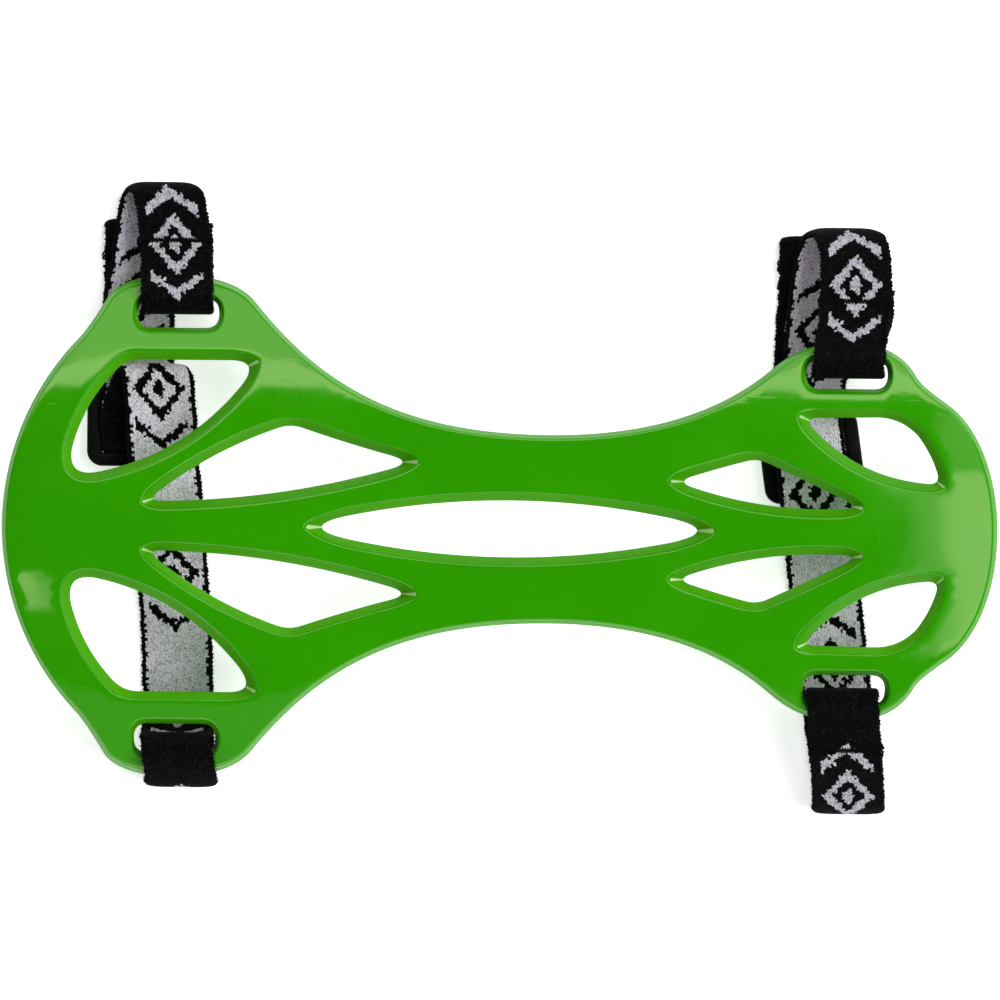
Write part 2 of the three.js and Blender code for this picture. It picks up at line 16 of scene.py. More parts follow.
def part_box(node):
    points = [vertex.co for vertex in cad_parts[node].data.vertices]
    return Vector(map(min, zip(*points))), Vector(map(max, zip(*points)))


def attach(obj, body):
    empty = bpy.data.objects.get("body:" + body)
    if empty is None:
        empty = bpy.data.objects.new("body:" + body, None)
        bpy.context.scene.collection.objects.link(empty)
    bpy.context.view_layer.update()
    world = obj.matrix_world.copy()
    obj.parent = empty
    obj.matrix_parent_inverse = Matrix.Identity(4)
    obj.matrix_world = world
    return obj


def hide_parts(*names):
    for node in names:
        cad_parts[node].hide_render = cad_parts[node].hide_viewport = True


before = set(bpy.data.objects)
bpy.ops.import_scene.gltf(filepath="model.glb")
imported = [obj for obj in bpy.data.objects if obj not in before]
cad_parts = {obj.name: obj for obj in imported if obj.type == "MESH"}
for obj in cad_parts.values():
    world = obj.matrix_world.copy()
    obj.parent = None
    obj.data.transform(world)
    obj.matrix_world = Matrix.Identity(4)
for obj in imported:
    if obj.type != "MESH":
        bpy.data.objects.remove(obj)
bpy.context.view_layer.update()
rng = random.Random(11)

MM = 0.001
PLATE_LOW, PLATE_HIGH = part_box("guard_plate")
PLAN_OFFSET = np.array([0.0, (PLATE_LOW.y + PLATE_HIGH.y) / 2, 0.0])

# Plate
HALF_LENGTH = 87.5
PLATE_THICKNESS = 2.5
TROUGH_RADIUS = 80.0
CROWN_HEIGHT = 22.8
END_DROP = 2.5
END_DROP_POWER = 4
RIM_WIDTH = 1.6
SLOT_RIM_WIDTH = 0.8
EDGE_RIM_WIDTH = 0.7
RIM_FILLET = 0.45
RIM_FOOT = 0.2
FOOT_STEPS = 4
FILLET_STEPS = 5
WALL_SHARES = (0.66, 0.33)
OUTLINE_STEPS = 60
SIDE_STEPS = 80
EDGE_STEP = 0.7
FACE_STEP = 1.5
FACE_REACH = 46
FACE_MARGIN = 0.75
TRIANGLE_RATIO = 0.866
MERGE_DISTANCE = 1e-6
CORNER_STEPS = 14
CORNER_POWER = 1.4
STREAK_FROM = 0.5
STREAK_SHARE = 0.1

# Straps
STRAP_WIDTH = 12.6
STRAP_THICKNESS = 1.2
FLOOR_LAYER = STRAP_THICKNESS / 2
LAYER_GAP = 0.3
SEAM_GAP = 0.1
SECOND_LAYER = FLOOR_LAYER + STRAP_THICKNESS + LAYER_GAP
HEM_LAYER = FLOOR_LAYER + STRAP_THICKNESS + SEAM_GAP
OVER_HEM_LAYER = HEM_LAYER + STRAP_THICKNESS + LAYER_GAP + SEAM_GAP
HEM_LENGTH = 7.0
HEM_BEND = (HEM_LAYER - FLOOR_LAYER) / 2
HEM_RISE_START = 2.6
HEM_RISE_END = 0.4
HEM_TUCK = 0.6
BEND_STEP = 11.25
SPLINE_STEPS = 24
SHORTEST_GAP = 1e-4
ROW_STEP = 0.2
FACE_COLUMNS = 34
EDGE_ROUND = 0.55
EDGE_STEPS = 3
SCALLOP_PITCH = 0.7
SCALLOP_DEPTH = 0.11
EDGE_WANDER = 0.15
WANDER_STEP = 0.5
WANDER_WIDTH = 1.0
FOLD_RUN = 2.2
FOLD_POWER = 6
FOLD_ROWS = 4
SEAM_PINCH = 0.3
SEAM_WIDTH = 0.55

# Slider buckles
SLIDER_WIDTH = 17.8
SLIDER_LENGTH = 15.0
SLIDER_THICKNESS = 2.5
RAIL_WIDTH = 2.7
BAR_SIZE = 2.0
END_BAR_SIZE = 2.45
SEWN_BAR_FROM_END = 5.0
TOP_BAR_FROM_END = SLIDER_LENGTH - BAR_SIZE / 2
BAR_WRAP = BAR_SIZE / 2 + LAYER_GAP + STRAP_THICKNESS / 2 + SEAM_GAP
SLIDER_HEIGHT = FLOOR_LAYER + BAR_WRAP
SLIDER_CORNER = 1.5
SLIDER_CORNER_POINTS = 9
SLIDER_RING_STEP = 15
SLIDER_SQUARENESS = 0.4
BAR_POINTS = 12

# Half outline of the plate from the elbow tip: two handles and the end of each cubic section
OUTLINE = [
    ((-87.5, 12.2), (-82.8, 24.1), (-74.4, 32.9)),
    ((-73.2, 34.1), (-70.7, 38.0), (-69.6, 40.0)),
    ((-68.1, 42.7), (-63.5, 44.3), (-57.8, 44.3)),
    ((-52.5, 44.3), (-46.8, 43.4), (-43.6, 39.9)),
    ((-32.9, 26.6), (-19.5, 16.6), (8.5, 16.6)),
    ((23.5, 16.6), (37.2, 19.8), (47.2, 28.2)),
    ((50.5, 31.0), (54.0, 33.4), (61.0, 33.4)),
    ((66.5, 33.4), (70.8, 31.6), (73.0, 27.6)),
    ((74.0, 25.8), (76.3, 24.4), (78.2, 22.9)),
    ((83.2, 19.8), (87.5, 11.5), (87.5, 0.0)),
]

# Holes of the upper half: x, y, soften, tip, bulge of each sharp corner of the lower opening
ELBOW_WINDOW = [(-76.0, 8.6, 5.0, 0.0, 4.7), (-42.6, 29.1, 5.0, 0.9, 0.0), (-65.8, 29.1, 2.6, 0.2, 2.2)]
ELBOW_VENT = [(-61.8, 4.4, 2.6, 0.9, 1.8), (-15.4, 11.6, 4.0, 1.6, -0.25), (-36.8, 18.0, 2.2, 0.0, 1.4)]
WRIST_VENT = [(31.2, 8.6, 2.6, 1.2, 1.8), (63.0, 4.3, 2.8, 0.8, 0.1), (45.2, 12.7, 2.0, 0.0, 0.15)]
WRIST_WINDOW = [(53.4, 19.9, 2.4, 0.8, 3.0), (77.2, 8.6, 2.0, 0.5, 1.1), (70.2, 20.2, 4.4, 0.0, 0.0)]
MIDDLE_VENT = [(-35.0, 0.0, 8.0, 1.6, 4.9), (38.8, 0.0, 8.8, 1.9, 4.9)]
SLOT_SIZE = (14.2, 5.0)
SLOT_SOFTEN = 2.4
ELBOW_SLOT = (-56.9, 37.4)
WRIST_SLOT = (60.8, 27.7)

# Sliders: x and y of the middle of the lower end, and the turn in plan
ELBOW_SLIDER = (-64.1, 10.4, 0.0)
WRIST_SLIDER = (55.9, 5.7, 8.0)


def stations(*places, lean=0.0):
    """Stations of a strap's centre line; lean turns the band's width in plan."""
    return [(*place, lean) for place in places]


def bend(x, y, z, radius, start, end, lean=0.0, drift=0.0):
    """Stations round a bend, its angles measured from +Y towards +Z; drift carries it along X."""
    steps = math.ceil(abs(end - start) / BEND_STEP)
    turn = math.radians(lean)
    rows = []
    for k in range(steps + 1):
        angle = math.radians(start + (end - start) * k / steps)
        reach = radius * math.cos(angle)
        across = x + drift * k / steps - reach * math.sin(turn)
        rows.append((across, y + reach * math.cos(turn), z + radius * math.sin(angle), lean))
    return rows


def round_bar(slider, along, start, end):
    """Stations round one of a slider's bars."""
    x, y, turn = slider
    spin = math.radians(turn)
    place = (x - along * math.sin(spin), y + along * math.cos(spin))
    return bend(*place, SLIDER_HEIGHT, BAR_WRAP, start, end, turn)


def hem(x, y):
    """Stations of the doubled free end: up on its own turned-in end, round the fold and back under."""
    fold = y - HEM_BEND - STRAP_THICKNESS / 2
    foot = y - HEM_LENGTH
    return (
        stations((x, foot - HEM_RISE_START, FLOOR_LAYER), (x, foot - HEM_RISE_END, HEM_LAYER))
        + bend(x, fold, FLOOR_LAYER + HEM_BEND, HEM_BEND, 90, -90)
        + stations((x, foot + HEM_TUCK, FLOOR_LAYER))
    )


ELBOW_UPPER = (
    stations(
        (-57.3, 53.4, 7.8), (-57.3, 48.6, 7.6), (-57.2, 46.4, 6.0), (-57.2, 44.9, 4.9),
        (-57.2, 43.6, 5.0), (-57.2, 40.1, 6.7), (-57.2, 38.0, 8.7), (-57.2, 37.9, 10.5),
        (-57.2, 38.8, 12.0), (-57.2, 40.5, 12.6), (-57.2, 42.8, 11.2), (-57.3, 44.6, 10.1),
        (-57.5, 48.6, 9.4), (-58.1, 54.0, 9.1),
    )
    + bend(-58.6, 57.4, 6.2, 2.6, 90, -90, drift=-2.7)
    + stations(
        (-61.9, 53.4, OVER_HEM_LAYER), (-62.8, 46.8, OVER_HEM_LAYER), (-63.6, 43.2, 2.6),
        (-64.1, 40.0, SECOND_LAYER), (-64.1, 31.5, SECOND_LAYER), (-64.1, 27.4, 4.2),
    )
    + round_bar(ELBOW_SLIDER, TOP_BAR_FROM_END, 90, 270)
    + stations((-64.0, 40.0, FLOOR_LAYER))
    + hem(-63.9, 54.2)
)
ELBOW_LOWER = (
    stations(
        (-56.6, -29.9, HEM_LAYER), (-56.6, -33.2, HEM_LAYER), (-56.6, -35.8, 3.0), (-56.6, -36.9, 5.5),
        (-56.6, -37.0, 9.0), (-56.6, -37.6, 11.4), (-56.5, -39.2, 12.9), (-56.2, -41.4, 12.35),
        (-55.8, -43.6, 10.9), (-55.7, -45.2, 9.0), (-55.7, -45.5, 6.6), (-55.8, -45.0, 3.6),
        (-56.0, -43.6, 1.5), (-56.2, -41.2, FLOOR_LAYER), (-56.5, -30.0, FLOOR_LAYER),
        (-57.1, -16.0, FLOOR_LAYER), (-57.9, -5.0, 2.4), (-58.7, 5.0, 6.4), (-59.2, 10.0, 8.2),
        (-59.9, 20.0, 8.9),
    )
    + bend(-60.6, 27.0, 7.6, 1.0, 90, -90, drift=-1.4)
    + stations((-63.1, 24.0, 6.3), (-64.1, 20.6, 5.5))
    + round_bar(ELBOW_SLIDER, SEWN_BAR_FROM_END, 90, 380)
)
WRIST_UPPER = (
    stations(
        (62.8, 42.5, 12.57), (62.5, 37.0, 13.5), (61.8, 35.0, 12.0), (61.4, 33.6, 11.1),
        (61.1, 32.2, 11.3), (61.0, 29.2, 12.5), (61.0, 27.75, 14.3), (61.0, 27.6, 16.0),
        (61.0, 28.3, 17.4), (61.1, 30.0, 17.9), (61.3, 32.2, 16.8), (61.6, 34.0, 15.9),
        (62.0, 37.0, 15.0), (62.3, 42.5, 13.9),
    )
    + bend(61.9, 48.6, 7.9, 4.4, 70, -90, drift=-4.0)
    + stations((57.3, 44.6, OVER_HEM_LAYER), (56.6, 39.0, SECOND_LAYER))
    + stations((56.0, 31.0, SECOND_LAYER), lean=4)
    + stations((54.9, 26.0, 2.3), (54.4, 22.4, 4.2), lean=8)
    + round_bar(WRIST_SLIDER, TOP_BAR_FROM_END, 90, 270)
    + stations((54.3, 26.0, FLOOR_LAYER), lean=4)
    + stations((54.8, 38.0, FLOOR_LAYER))
    + hem(55.2, 52.2)
)
WRIST_LOWER = (
    stations(
        (61.2, -40.6, 12.05), (60.7, -37.0, 13.5), (60.4, -35.0, 12.0), (60.3, -33.6, 11.1),
        (60.3, -32.2, 11.3), (60.5, -29.3, 12.7), (60.5, -28.2, 14.3), (60.5, -28.0, 16.0),
        (60.5, -28.7, 17.4), (60.6, -30.2, 17.9), (60.8, -32.2, 16.8), (60.9, -34.0, 15.9),
        (61.2, -37.0, 14.9), (61.5, -41.0, 13.3),
    )
    + bend(61.9, -44.6, 5.2, 4.6, 120, 270)
    + stations((60.9, -36.0, FLOOR_LAYER), (59.4, -26.0, FLOOR_LAYER))
    + stations((57.5, -10.0, FLOOR_LAYER), (56.6, -3.0, 2.4), (55.9, 3.0, 6.6), lean=6)
    + stations((55.3, 8.5, 8.4), (54.4, 15.5, 8.9), lean=7)
    + bend(53.4, 22.4, 7.6, 1.0, 90, -90, 8)
    + stations((53.7, 19.0, 6.3), (54.4, 14.6, 5.3), lean=8)
    + round_bar(WRIST_SLIDER, SEWN_BAR_FROM_END, 90, 380)
)

# Of each strap: a lozenge's place, its seams with how many loose ends, and its folds with their curl
ELBOW_UPPER_FIGURE = (-57.5, 49.5, 9.4)
ELBOW_LOWER_FIGURE = (-60.2, 24.0, 8.75)
WRIST_UPPER_FIGURE = (62.3, 43.3, 13.7)
WRIST_LOWER_FIGURE = (61.8, -46.2, 9.9)
ELBOW_UPPER_SEAMS = [(-57.6, 50.3, 9.3, 7), (-63.9, 47.4, HEM_LAYER, 2), (-63.9, 45.6, FLOOR_LAYER, 2)]
ELBOW_LOWER_SEAMS = [(-56.6, -31.6, HEM_LAYER, 3), (-64.0, 17.6, 5.1, 1)]
WRIST_UPPER_SEAMS = [(62.3, 40.4, 14.3, 6), (55.2, 46.4, HEM_LAYER, 5), (55.1, 43.6, FLOOR_LAYER, 5)]
WRIST_LOWER_SEAMS = [(61.3, -38.2, 14.4, 4), (54.6, 13.0, 5.1, 1)]
ELBOW_UPPER_FOLDS = [(-59.9, 60.0, 6.2, 1.0), (-63.9, 54.2, 1.3, 0.6)]
ELBOW_LOWER_FOLDS = [(-55.7, -45.5, 6.6, 0.6), (-61.3, 28.0, 7.6, 0.8)]
WRIST_UPPER_FOLDS = [(60.1, 53.0, 7.9, 1.0), (55.2, 52.2, 1.3, 0.6)]
WRIST_LOWER_FOLDS = [(61.9, -49.2, 5.2, 0.45), (53.4, 23.4, 7.6, 0.8)]

# Of each strap: its stations, 1 where its black face looks the facing way and -1 where not, and its trim
STRAPS = {
    "elbow_strap_upper": (ELBOW_UPPER, 1, ELBOW_UPPER_FIGURE, ELBOW_UPPER_SEAMS, ELBOW_UPPER_FOLDS),
    "elbow_strap_lower": (ELBOW_LOWER, -1, ELBOW_LOWER_FIGURE, ELBOW_LOWER_SEAMS, ELBOW_LOWER_FOLDS),
    "wrist_strap_upper": (WRIST_UPPER, 1, WRIST_UPPER_FIGURE, WRIST_UPPER_SEAMS, WRIST_UPPER_FOLDS),
    "wrist_strap_lower": (WRIST_LOWER, -1, WRIST_LOWER_FIGURE, WRIST_LOWER_SEAMS, WRIST_LOWER_FOLDS),
}


def new_piece(name, points, faces, node, materials):
    """A smooth mesh from plan points in millimetres, standing for a CAD node."""
    mesh = bpy.data.meshes.new(name)
    mesh.from_pydata((np.asarray(points) * MM + PLAN_OFFSET).tolist(), [], faces)
    for material in materials:
        mesh.materials.append(material)
    mesh.polygons.foreach_set("use_smooth", [True] * len(mesh.polygons))
    piece = bpy.data.objects.new(name, mesh)
    bpy.context.scene.collection.objects.link(piece)
    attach(piece, "root")
    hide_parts(node)
    return piece


def face_outwards(piece):
    work = bmesh.new()
    work.from_mesh(piece.data)
    bmesh.ops.recalc_face_normals(work, faces=work.faces)
    work.to_mesh(piece.data)
    work.free()


# Materials


class Shader:
    """Shorthand for building one material's node tree."""

    def __init__(self, name):
        self.material = bpy.data.materials.new(name)
        self.material.use_nodes = True
        self.tree = self.material.node_tree
        self.surface = self.tree.nodes["Principled BSDF"]

    def plug(self, value, socket):
        if isinstance(value, bpy.types.NodeSocket):
            self.tree.links.new(value, socket)
        else:
            socket.default_value = value

    def node(self, kind, inputs=(), **settings):
        made = self.tree.nodes.new("ShaderNode" + kind)
        for key, value in settings.items():
            setattr(made, key, value)
        for key, value in dict(inputs).items():
            self.plug(value, made.inputs[key])
        return made

    def math(self, operation, *values):
        return self.node("Math", dict(enumerate(values)), operation=operation).outputs[0]

    def noise(self, scale, detail, vector):
        inputs = {"Scale": scale, "Detail": detail, "Vector": vector}
        return self.node("TexNoise", inputs).outputs["Fac"]

    def chance(self, x, y):
        cell = self.node("CombineXYZ", {"X": x, "Y": y}).outputs["Vector"]
        return self.node("TexWhiteNoise", {"Vector": cell}, noise_dimensions="3D").outputs["Value"]

    def ramp(self, value, low, high, to_low=0.0, to_high=1.0):
        inputs = {
            "Value": value, "From Min": low, "From Max": high, "To Min": to_low, "To Max": to_high,
        }
        return self.node("MapRange", inputs, interpolation_type="SMOOTHSTEP").outputs["Result"]

    def mix(self, share, first, second):
        made = self.node("Mix", data_type="RGBA")
        self.plug(share, made.inputs[0])
        self.plug(first, made.inputs[6])
        self.plug(second, made.inputs[7])
        return made.outputs[2]

    def scaled(self, colour, share):
        return self.node("VectorMath", {0: colour, "Scale": share}, operation="SCALE").outputs["Vector"]

    def bump(self, height, distance, strength, normal=None):
        inputs = {"Height": height, "Distance": distance, "Strength": strength}
        if normal is not None:
            inputs["Normal"] = normal
        return self.node("Bump", inputs).outputs["Normal"]

    def set(self, **values):
        for key, value in values.items():
            self.plug(value, self.surface.inputs[key.replace("_", " ")])


# Finishes: noise scales per metre, heights in metres
NOISE_MIDDLE = (0.3, 0.7)
CLOUD_SCALE = 55.0
WAVE_SCALE = 75.0
WAVE_HEIGHT = 0.00006
RIPPLE_SCALE = 420.0
RIPPLE_HEIGHT = 0.000006
LONG_SCUFF_SCALE = (90.0, 1100.0, 90.0)
LONG_SCUFF_TURN = (0, 0, 0.5)
LONG_SCUFF_CUT = (0.66, 0.78)
CROSS_SCUFF_SCALE = (1300.0, 110.0, 110.0)
CROSS_SCUFF_TURN = (0, 0, 0.2)
CROSS_SCUFF_CUT = (0.68, 0.8)
SCUFF_ROUGHNESS = 0.12
MARK_HEIGHT = 0.00001
MARK_STRENGTH = 0.6
GLOSS_TINT = (1, 1, 0.55, 1)
PLASTIC_IOR = 1.47
SATIN_COLOURS = ((0.002, 0.002, 0.0022, 1), (0.004, 0.004, 0.0043, 1))
SATIN_ROUGHNESS = (0.4, 0.55)
SATIN_CLOUD_SCALE = 260.0
SATIN_GRAIN_SCALE = 2600.0
SATIN_GRAIN_HEIGHT = 0.00003
SATIN_GRAIN_STRENGTH = 0.4
THREAD_COLOURS = ((0.0015, 0.0015, 0.0017, 1), (0.004, 0.004, 0.0044, 1))
THREAD_FIBRE_SCALE = 5200.0
THREAD_FIBRE_HEIGHT = 0.00006
THREAD_FIBRE_STRENGTH = 0.6
FLOOR_COLOURS = ((0.88, 0.88, 0.88, 1), (0.9, 0.9, 0.9, 1))
FLOOR_GRAIN_SCALE = 30.0
FLOOR_GLOW = 0.6

# Faint ring that an ejector pin leaves on the plate: place in the plan and radius
PIN_MARK = (-37.7, 23.4, 2.35)
PIN_RING_HALF = 0.00012
PIN_COLOUR = (0.005, 0.12, 0.0, 1)
PIN_SHARE = 0.3


def green_plastic(name, dark, light, smooth, rough, specular):
    """Moulded green plastic with faint clouding, surface waves, scuffs and an ejector pin's mark."""
    s = Shader(name)
    place = s.node("TexCoord").outputs["Object"]
    cloud = s.ramp(s.noise(CLOUD_SCALE, 3.0, place), *NOISE_MIDDLE)
    long_inputs = {"Vector": place, "Scale": LONG_SCUFF_SCALE, "Rotation": LONG_SCUFF_TURN}
    long_marks = s.node("Mapping", long_inputs)
    cross_inputs = {"Vector": place, "Scale": CROSS_SCUFF_SCALE, "Rotation": CROSS_SCUFF_TURN}
    cross_marks = s.node("Mapping", cross_inputs)
    scuffs = s.math(
        "MAXIMUM",
        s.ramp(s.noise(1.0, 2.0, long_marks.outputs["Vector"]), *LONG_SCUFF_CUT),
        s.ramp(s.noise(1.0, 2.0, cross_marks.outputs["Vector"]), *CROSS_SCUFF_CUT),
    )
    x, y, radius = PIN_MARK
    flat = s.node("VectorMath", {0: place, 1: (1, 1, 0)}, operation="MULTIPLY").outputs["Vector"]
    centre = (x * MM, y * MM + PLAN_OFFSET[1], 0.0)
    away = s.node("VectorMath", {0: flat, 1: centre}, operation="DISTANCE").outputs["Value"]
    ring = s.math("COMPARE", away, radius * MM, PIN_RING_HALF)
    waves = s.bump(s.noise(WAVE_SCALE, 2.0, place), WAVE_HEIGHT, 1.0)
    ripple = s.bump(s.noise(RIPPLE_SCALE, 2.0, place), RIPPLE_HEIGHT, 1.0, waves)
    clouded = s.mix(cloud, dark, light)
    dullness = s.math("MULTIPLY", scuffs, SCUFF_ROUGHNESS)
    s.set(
        Base_Color=s.mix(s.math("MULTIPLY", ring, PIN_SHARE), clouded, PIN_COLOUR),
        Roughness=s.math("ADD", s.ramp(cloud, 0.0, 1.0, smooth, rough), dullness),
        Specular_IOR_Level=specular,
        Specular_Tint=GLOSS_TINT,
        IOR=PLASTIC_IOR,
        Normal=s.bump(s.math("MAXIMUM", scuffs, ring), MARK_HEIGHT, MARK_STRENGTH, ripple),
    )
    return s.material


def black_plastic():
    s = Shader("black_plastic")
    place = s.node("TexCoord").outputs["Object"]
    grain = s.noise(SATIN_GRAIN_SCALE, 2.0, place)
    cloud = s.noise(SATIN_CLOUD_SCALE, 2.0, place)
    s.set(
        Base_Color=s.mix(s.ramp(grain, *NOISE_MIDDLE), *SATIN_COLOURS),
        Roughness=s.ramp(cloud, *NOISE_MIDDLE, *SATIN_ROUGHNESS),
        Specular_IOR_Level=0.1,
        Normal=s.bump(grain, SATIN_GRAIN_HEIGHT, SATIN_GRAIN_STRENGTH),
    )
    return s.material


def black_thread():
    s = Shader("black_thread")
    place = s.node("TexCoord").outputs["Object"]
    fibre = s.noise(THREAD_FIBRE_SCALE, 2.0, place)
    s.set(
        Base_Color=s.mix(s.ramp(fibre, *NOISE_MIDDLE), *THREAD_COLOURS),
        Roughness=0.9,
        Specular_IOR_Level=0.06,
        Normal=s.bump(fibre, THREAD_FIBRE_HEIGHT, THREAD_FIBRE_STRENGTH),
    )
    return s.material


# Knit
STITCH_WIDTH = 0.44
STITCH_LENGTH = 0.5
STITCH_TOOTH = 0.8
STITCH_HEIGHT = 0.00016
STITCH_STRENGTH = 0.8
YARN_STRAY = 0.9
STRAY_SCALE = 2.4
GRAIN_WIDTH = 0.2
GRAIN_LENGTH = 0.27
FIBRE_SCALE = 3.4
FIBRE_RISE = 0.5
FIBRE_SHADE = (0.2, 0.8, 0.85, 1.1)
DOME_FALL = 0.7
DOME_SHADE = (0.0, 0.5, 0.72, 1.0)
MOTIF_PERIOD = 33.5
LOZENGE_HALF_WIDTH = 4.7
LOZENGE_HALF_LENGTH = 5.6
RING_AT = 0.82
RING_HALF = 0.17
CORE_SIZE = 0.3
CHEVRON_AT = 9.6
CHEVRON_HALF = 0.85
CHEVRON_SLOPE = 0.8
CHEVRON_REACH = 4.6
EDGE_RAGGED = 0.4

# Yarns: colour, and how the chance of each grain from 0 to 1 shades it
BLACK_YARN = ((0.0017, 0.0016, 0.0018), 0.65, 1.0, 0.65, 5.0)
WHITE_YARN = ((0.57, 0.545, 0.605), 0.02, 0.6, 0.45, 1.0)
GREY_YARN = ((0.86, 0.77, 0.9), 0.02, 0.5, 0.5, 1.0)


def knit(name, ground, figure, border):
    """Knitted elastic with a jacquard figure of lozenges between chevrons, held to whole stitches.

    ground and figure are the two yarns, and border is the width of the selvedge in the figure's yarn.
    """
    s = Shader(name)
    flat = s.node("UVMap", uv_map="weave").outputs["UV"]
    stray = s.node("TexNoise", {"Scale": STRAY_SCALE, "Detail": 2.0, "Vector": flat}).outputs["Color"]
    stray = s.node("VectorMath", {0: stray, 1: (0.5, 0.5, 0.5)}, operation="SUBTRACT").outputs["Vector"]
    moved = s.node("VectorMath", {0: flat, 1: s.scaled(stray, YARN_STRAY)}, operation="ADD")
    weave = moved.outputs["Vector"]
    parts = s.node("SeparateXYZ", {"Vector": weave})
    x, y = parts.outputs["X"], parts.outputs["Y"]
    across = s.math("DIVIDE", x, STITCH_WIDTH)
    column = s.math("ROUND", across)
    odd = s.math("MULTIPLY", s.math("FLOORED_MODULO", column, 2.0), 0.5)
    along = s.math("ADD", s.math("DIVIDE", y, STITCH_LENGTH), odd)
    course = s.math("ROUND", along)
    tooth = s.math("MULTIPLY", s.math("SUBTRACT", s.chance(column, course), 0.5), STITCH_TOOTH)
    u = s.math("ABSOLUTE", s.math("MULTIPLY", column, STITCH_WIDTH))
    place = s.math("ADD", s.math("MULTIPLY", s.math("SUBTRACT", course, odd), STITCH_LENGTH), tooth)
    v = s.math("ABSOLUTE", s.math("WRAP", place, MOTIF_PERIOD / 2, -MOTIF_PERIOD / 2))

    lozenge = s.math(
        "ADD", s.math("DIVIDE", u, LOZENGE_HALF_WIDTH), s.math("DIVIDE", v, LOZENGE_HALF_LENGTH)
    )
    ring = s.math("COMPARE", lozenge, RING_AT, RING_HALF)
    core = s.math("LESS_THAN", lozenge, CORE_SIZE)
    slant = s.math("ADD", v, s.math("MULTIPLY", u, CHEVRON_SLOPE))
    chevron = s.math("COMPARE", slant, CHEVRON_AT, CHEVRON_HALF)
    short = s.math("LESS_THAN", u, CHEVRON_REACH)
    ragged = s.math("ADD", u, s.math("MULTIPLY", tooth, EDGE_RAGGED))
    edge = s.math("GREATER_THAN", ragged, STRAP_WIDTH / 2 - border)
    figured = s.math("MAXIMUM", s.math("MAXIMUM", ring, core), s.math("MULTIPLY", chevron, short))
    figured = s.math("MAXIMUM", figured, edge)

    strand = s.math("FLOOR", s.math("DIVIDE", x, GRAIN_WIDTH))
    grain = s.chance(strand, s.math("FLOOR", s.math("ADD", s.math("DIVIDE", y, GRAIN_LENGTH), odd)))
    out = s.math("MULTIPLY", s.math("SUBTRACT", across, column), 2.0)
    up = s.math("MULTIPLY", s.math("SUBTRACT", along, course), 2.0)
    dome_out = s.math("SUBTRACT", 1.0, s.math("MULTIPLY", out, out))
    dome_up = s.math("SUBTRACT", 1.0, s.math("MULTIPLY", s.math("MULTIPLY", up, up), DOME_FALL))
    dome = s.math("MULTIPLY", dome_out, dome_up)
    fibre = s.noise(FIBRE_SCALE, 2.0, weave)
    lit = s.math("MULTIPLY", s.ramp(dome, *DOME_SHADE), s.ramp(fibre, *FIBRE_SHADE))

    yarns = []
    for colour, low, high, to_low, to_high in (ground, figure):
        shade = s.math("MULTIPLY", lit, s.ramp(grain, low, high, to_low, to_high))
        yarns.append(s.scaled(colour, shade))
    height = s.math("ADD", dome, s.math("MULTIPLY", s.math("ADD", fibre, grain), FIBRE_RISE))
    s.set(
        Base_Color=s.mix(figured, *yarns),
        Roughness=0.95,
        Specular_IOR_Level=0.08,
        Normal=s.bump(height, STITCH_HEIGHT, STITCH_STRENGTH),
    )
    return s.material


def pale_floor():
    s = Shader("pale_floor")
    place = s.node("TexCoord").outputs["Object"]
    grain = s.noise(FLOOR_GRAIN_SCALE, 2.0, place)
    s.set(
        Base_Color=s.mix(s.ramp(grain, *NOISE_MIDDLE), *FLOOR_COLOURS),
        Roughness=0.95,
        Specular_IOR_Level=0.0,
        Emission_Color=(1, 1, 1, 1),
        Emission_Strength=FLOOR_GLOW,
    )
    return s.material


# Plastics: darker and lighter colour, least and most roughness, specular level
FACE_FINISH = ((0.022, 0.272, 0.0002, 1), (0.026, 0.29, 0.0002, 1), 0.07, 0.11, 0.5)
# Walls are a lighter green than the face: painted light; they are also rougher and less glossy
PAINTED_LIT_WALL_FINISH = ((0.05, 0.295, 0.001, 1), (0.057, 0.315, 0.001, 1), 0.35, 0.45, 0.05)
# Pale green with a painted highlight, for the streaks at the sharp hole tips
PAINTED_HIGHLIGHT_FINISH = ((0.3, 0.55, 0.18, 1), (0.42, 0.64, 0.3, 1), 0.2, 0.3, 0.5)
SELVEDGE = 0.95
NO_SELVEDGE = -1.0

GREEN = green_plastic("green_plastic", *FACE_FINISH)
# Wall material: its lighter colour is painted light
GREEN_PAINTED_LIT_WALL = green_plastic("green_painted_lit_wall", *PAINTED_LIT_WALL_FINISH)
GREEN_PAINTED_HIGHLIGHT = green_plastic("green_painted_highlight", *PAINTED_HIGHLIGHT_FINISH)
BLACK = black_plastic()
THREAD = black_thread()
OUTER = knit("knit_outer", BLACK_YARN, WHITE_YARN, NO_SELVEDGE)
INNER = knit("knit_inner", GREY_YARN, BLACK_YARN, SELVEDGE)


# Plate


def plate_height(x, y, depth):
    """Height of the plate's outer face, or of a face that much deeper, over a point of the plan."""
    radius = TROUGH_RADIUS - depth
    drop = END_DROP * np.abs(x / HALF_LENGTH) ** END_DROP_POWER
    return CROWN_HEIGHT - TROUGH_RADIUS + np.sqrt(radius**2 - y**2) - drop


def bezier(controls, shares):
    """Points of a quadratic or cubic section at these shares of its way."""
    line = np.array(controls, float)
    t = np.asarray(shares)[:, None]
    if len(line) == 3:
        return (1 - t) ** 2 * line[0] + 2 * t * (1 - t) * line[1] + t**2 * line[2]
    return (
        (1 - t) ** 3 * line[0] + 3 * t * (1 - t) ** 2 * line[1]
        + 3 * t**2 * (1 - t) * line[2] + t**3 * line[3]
    )


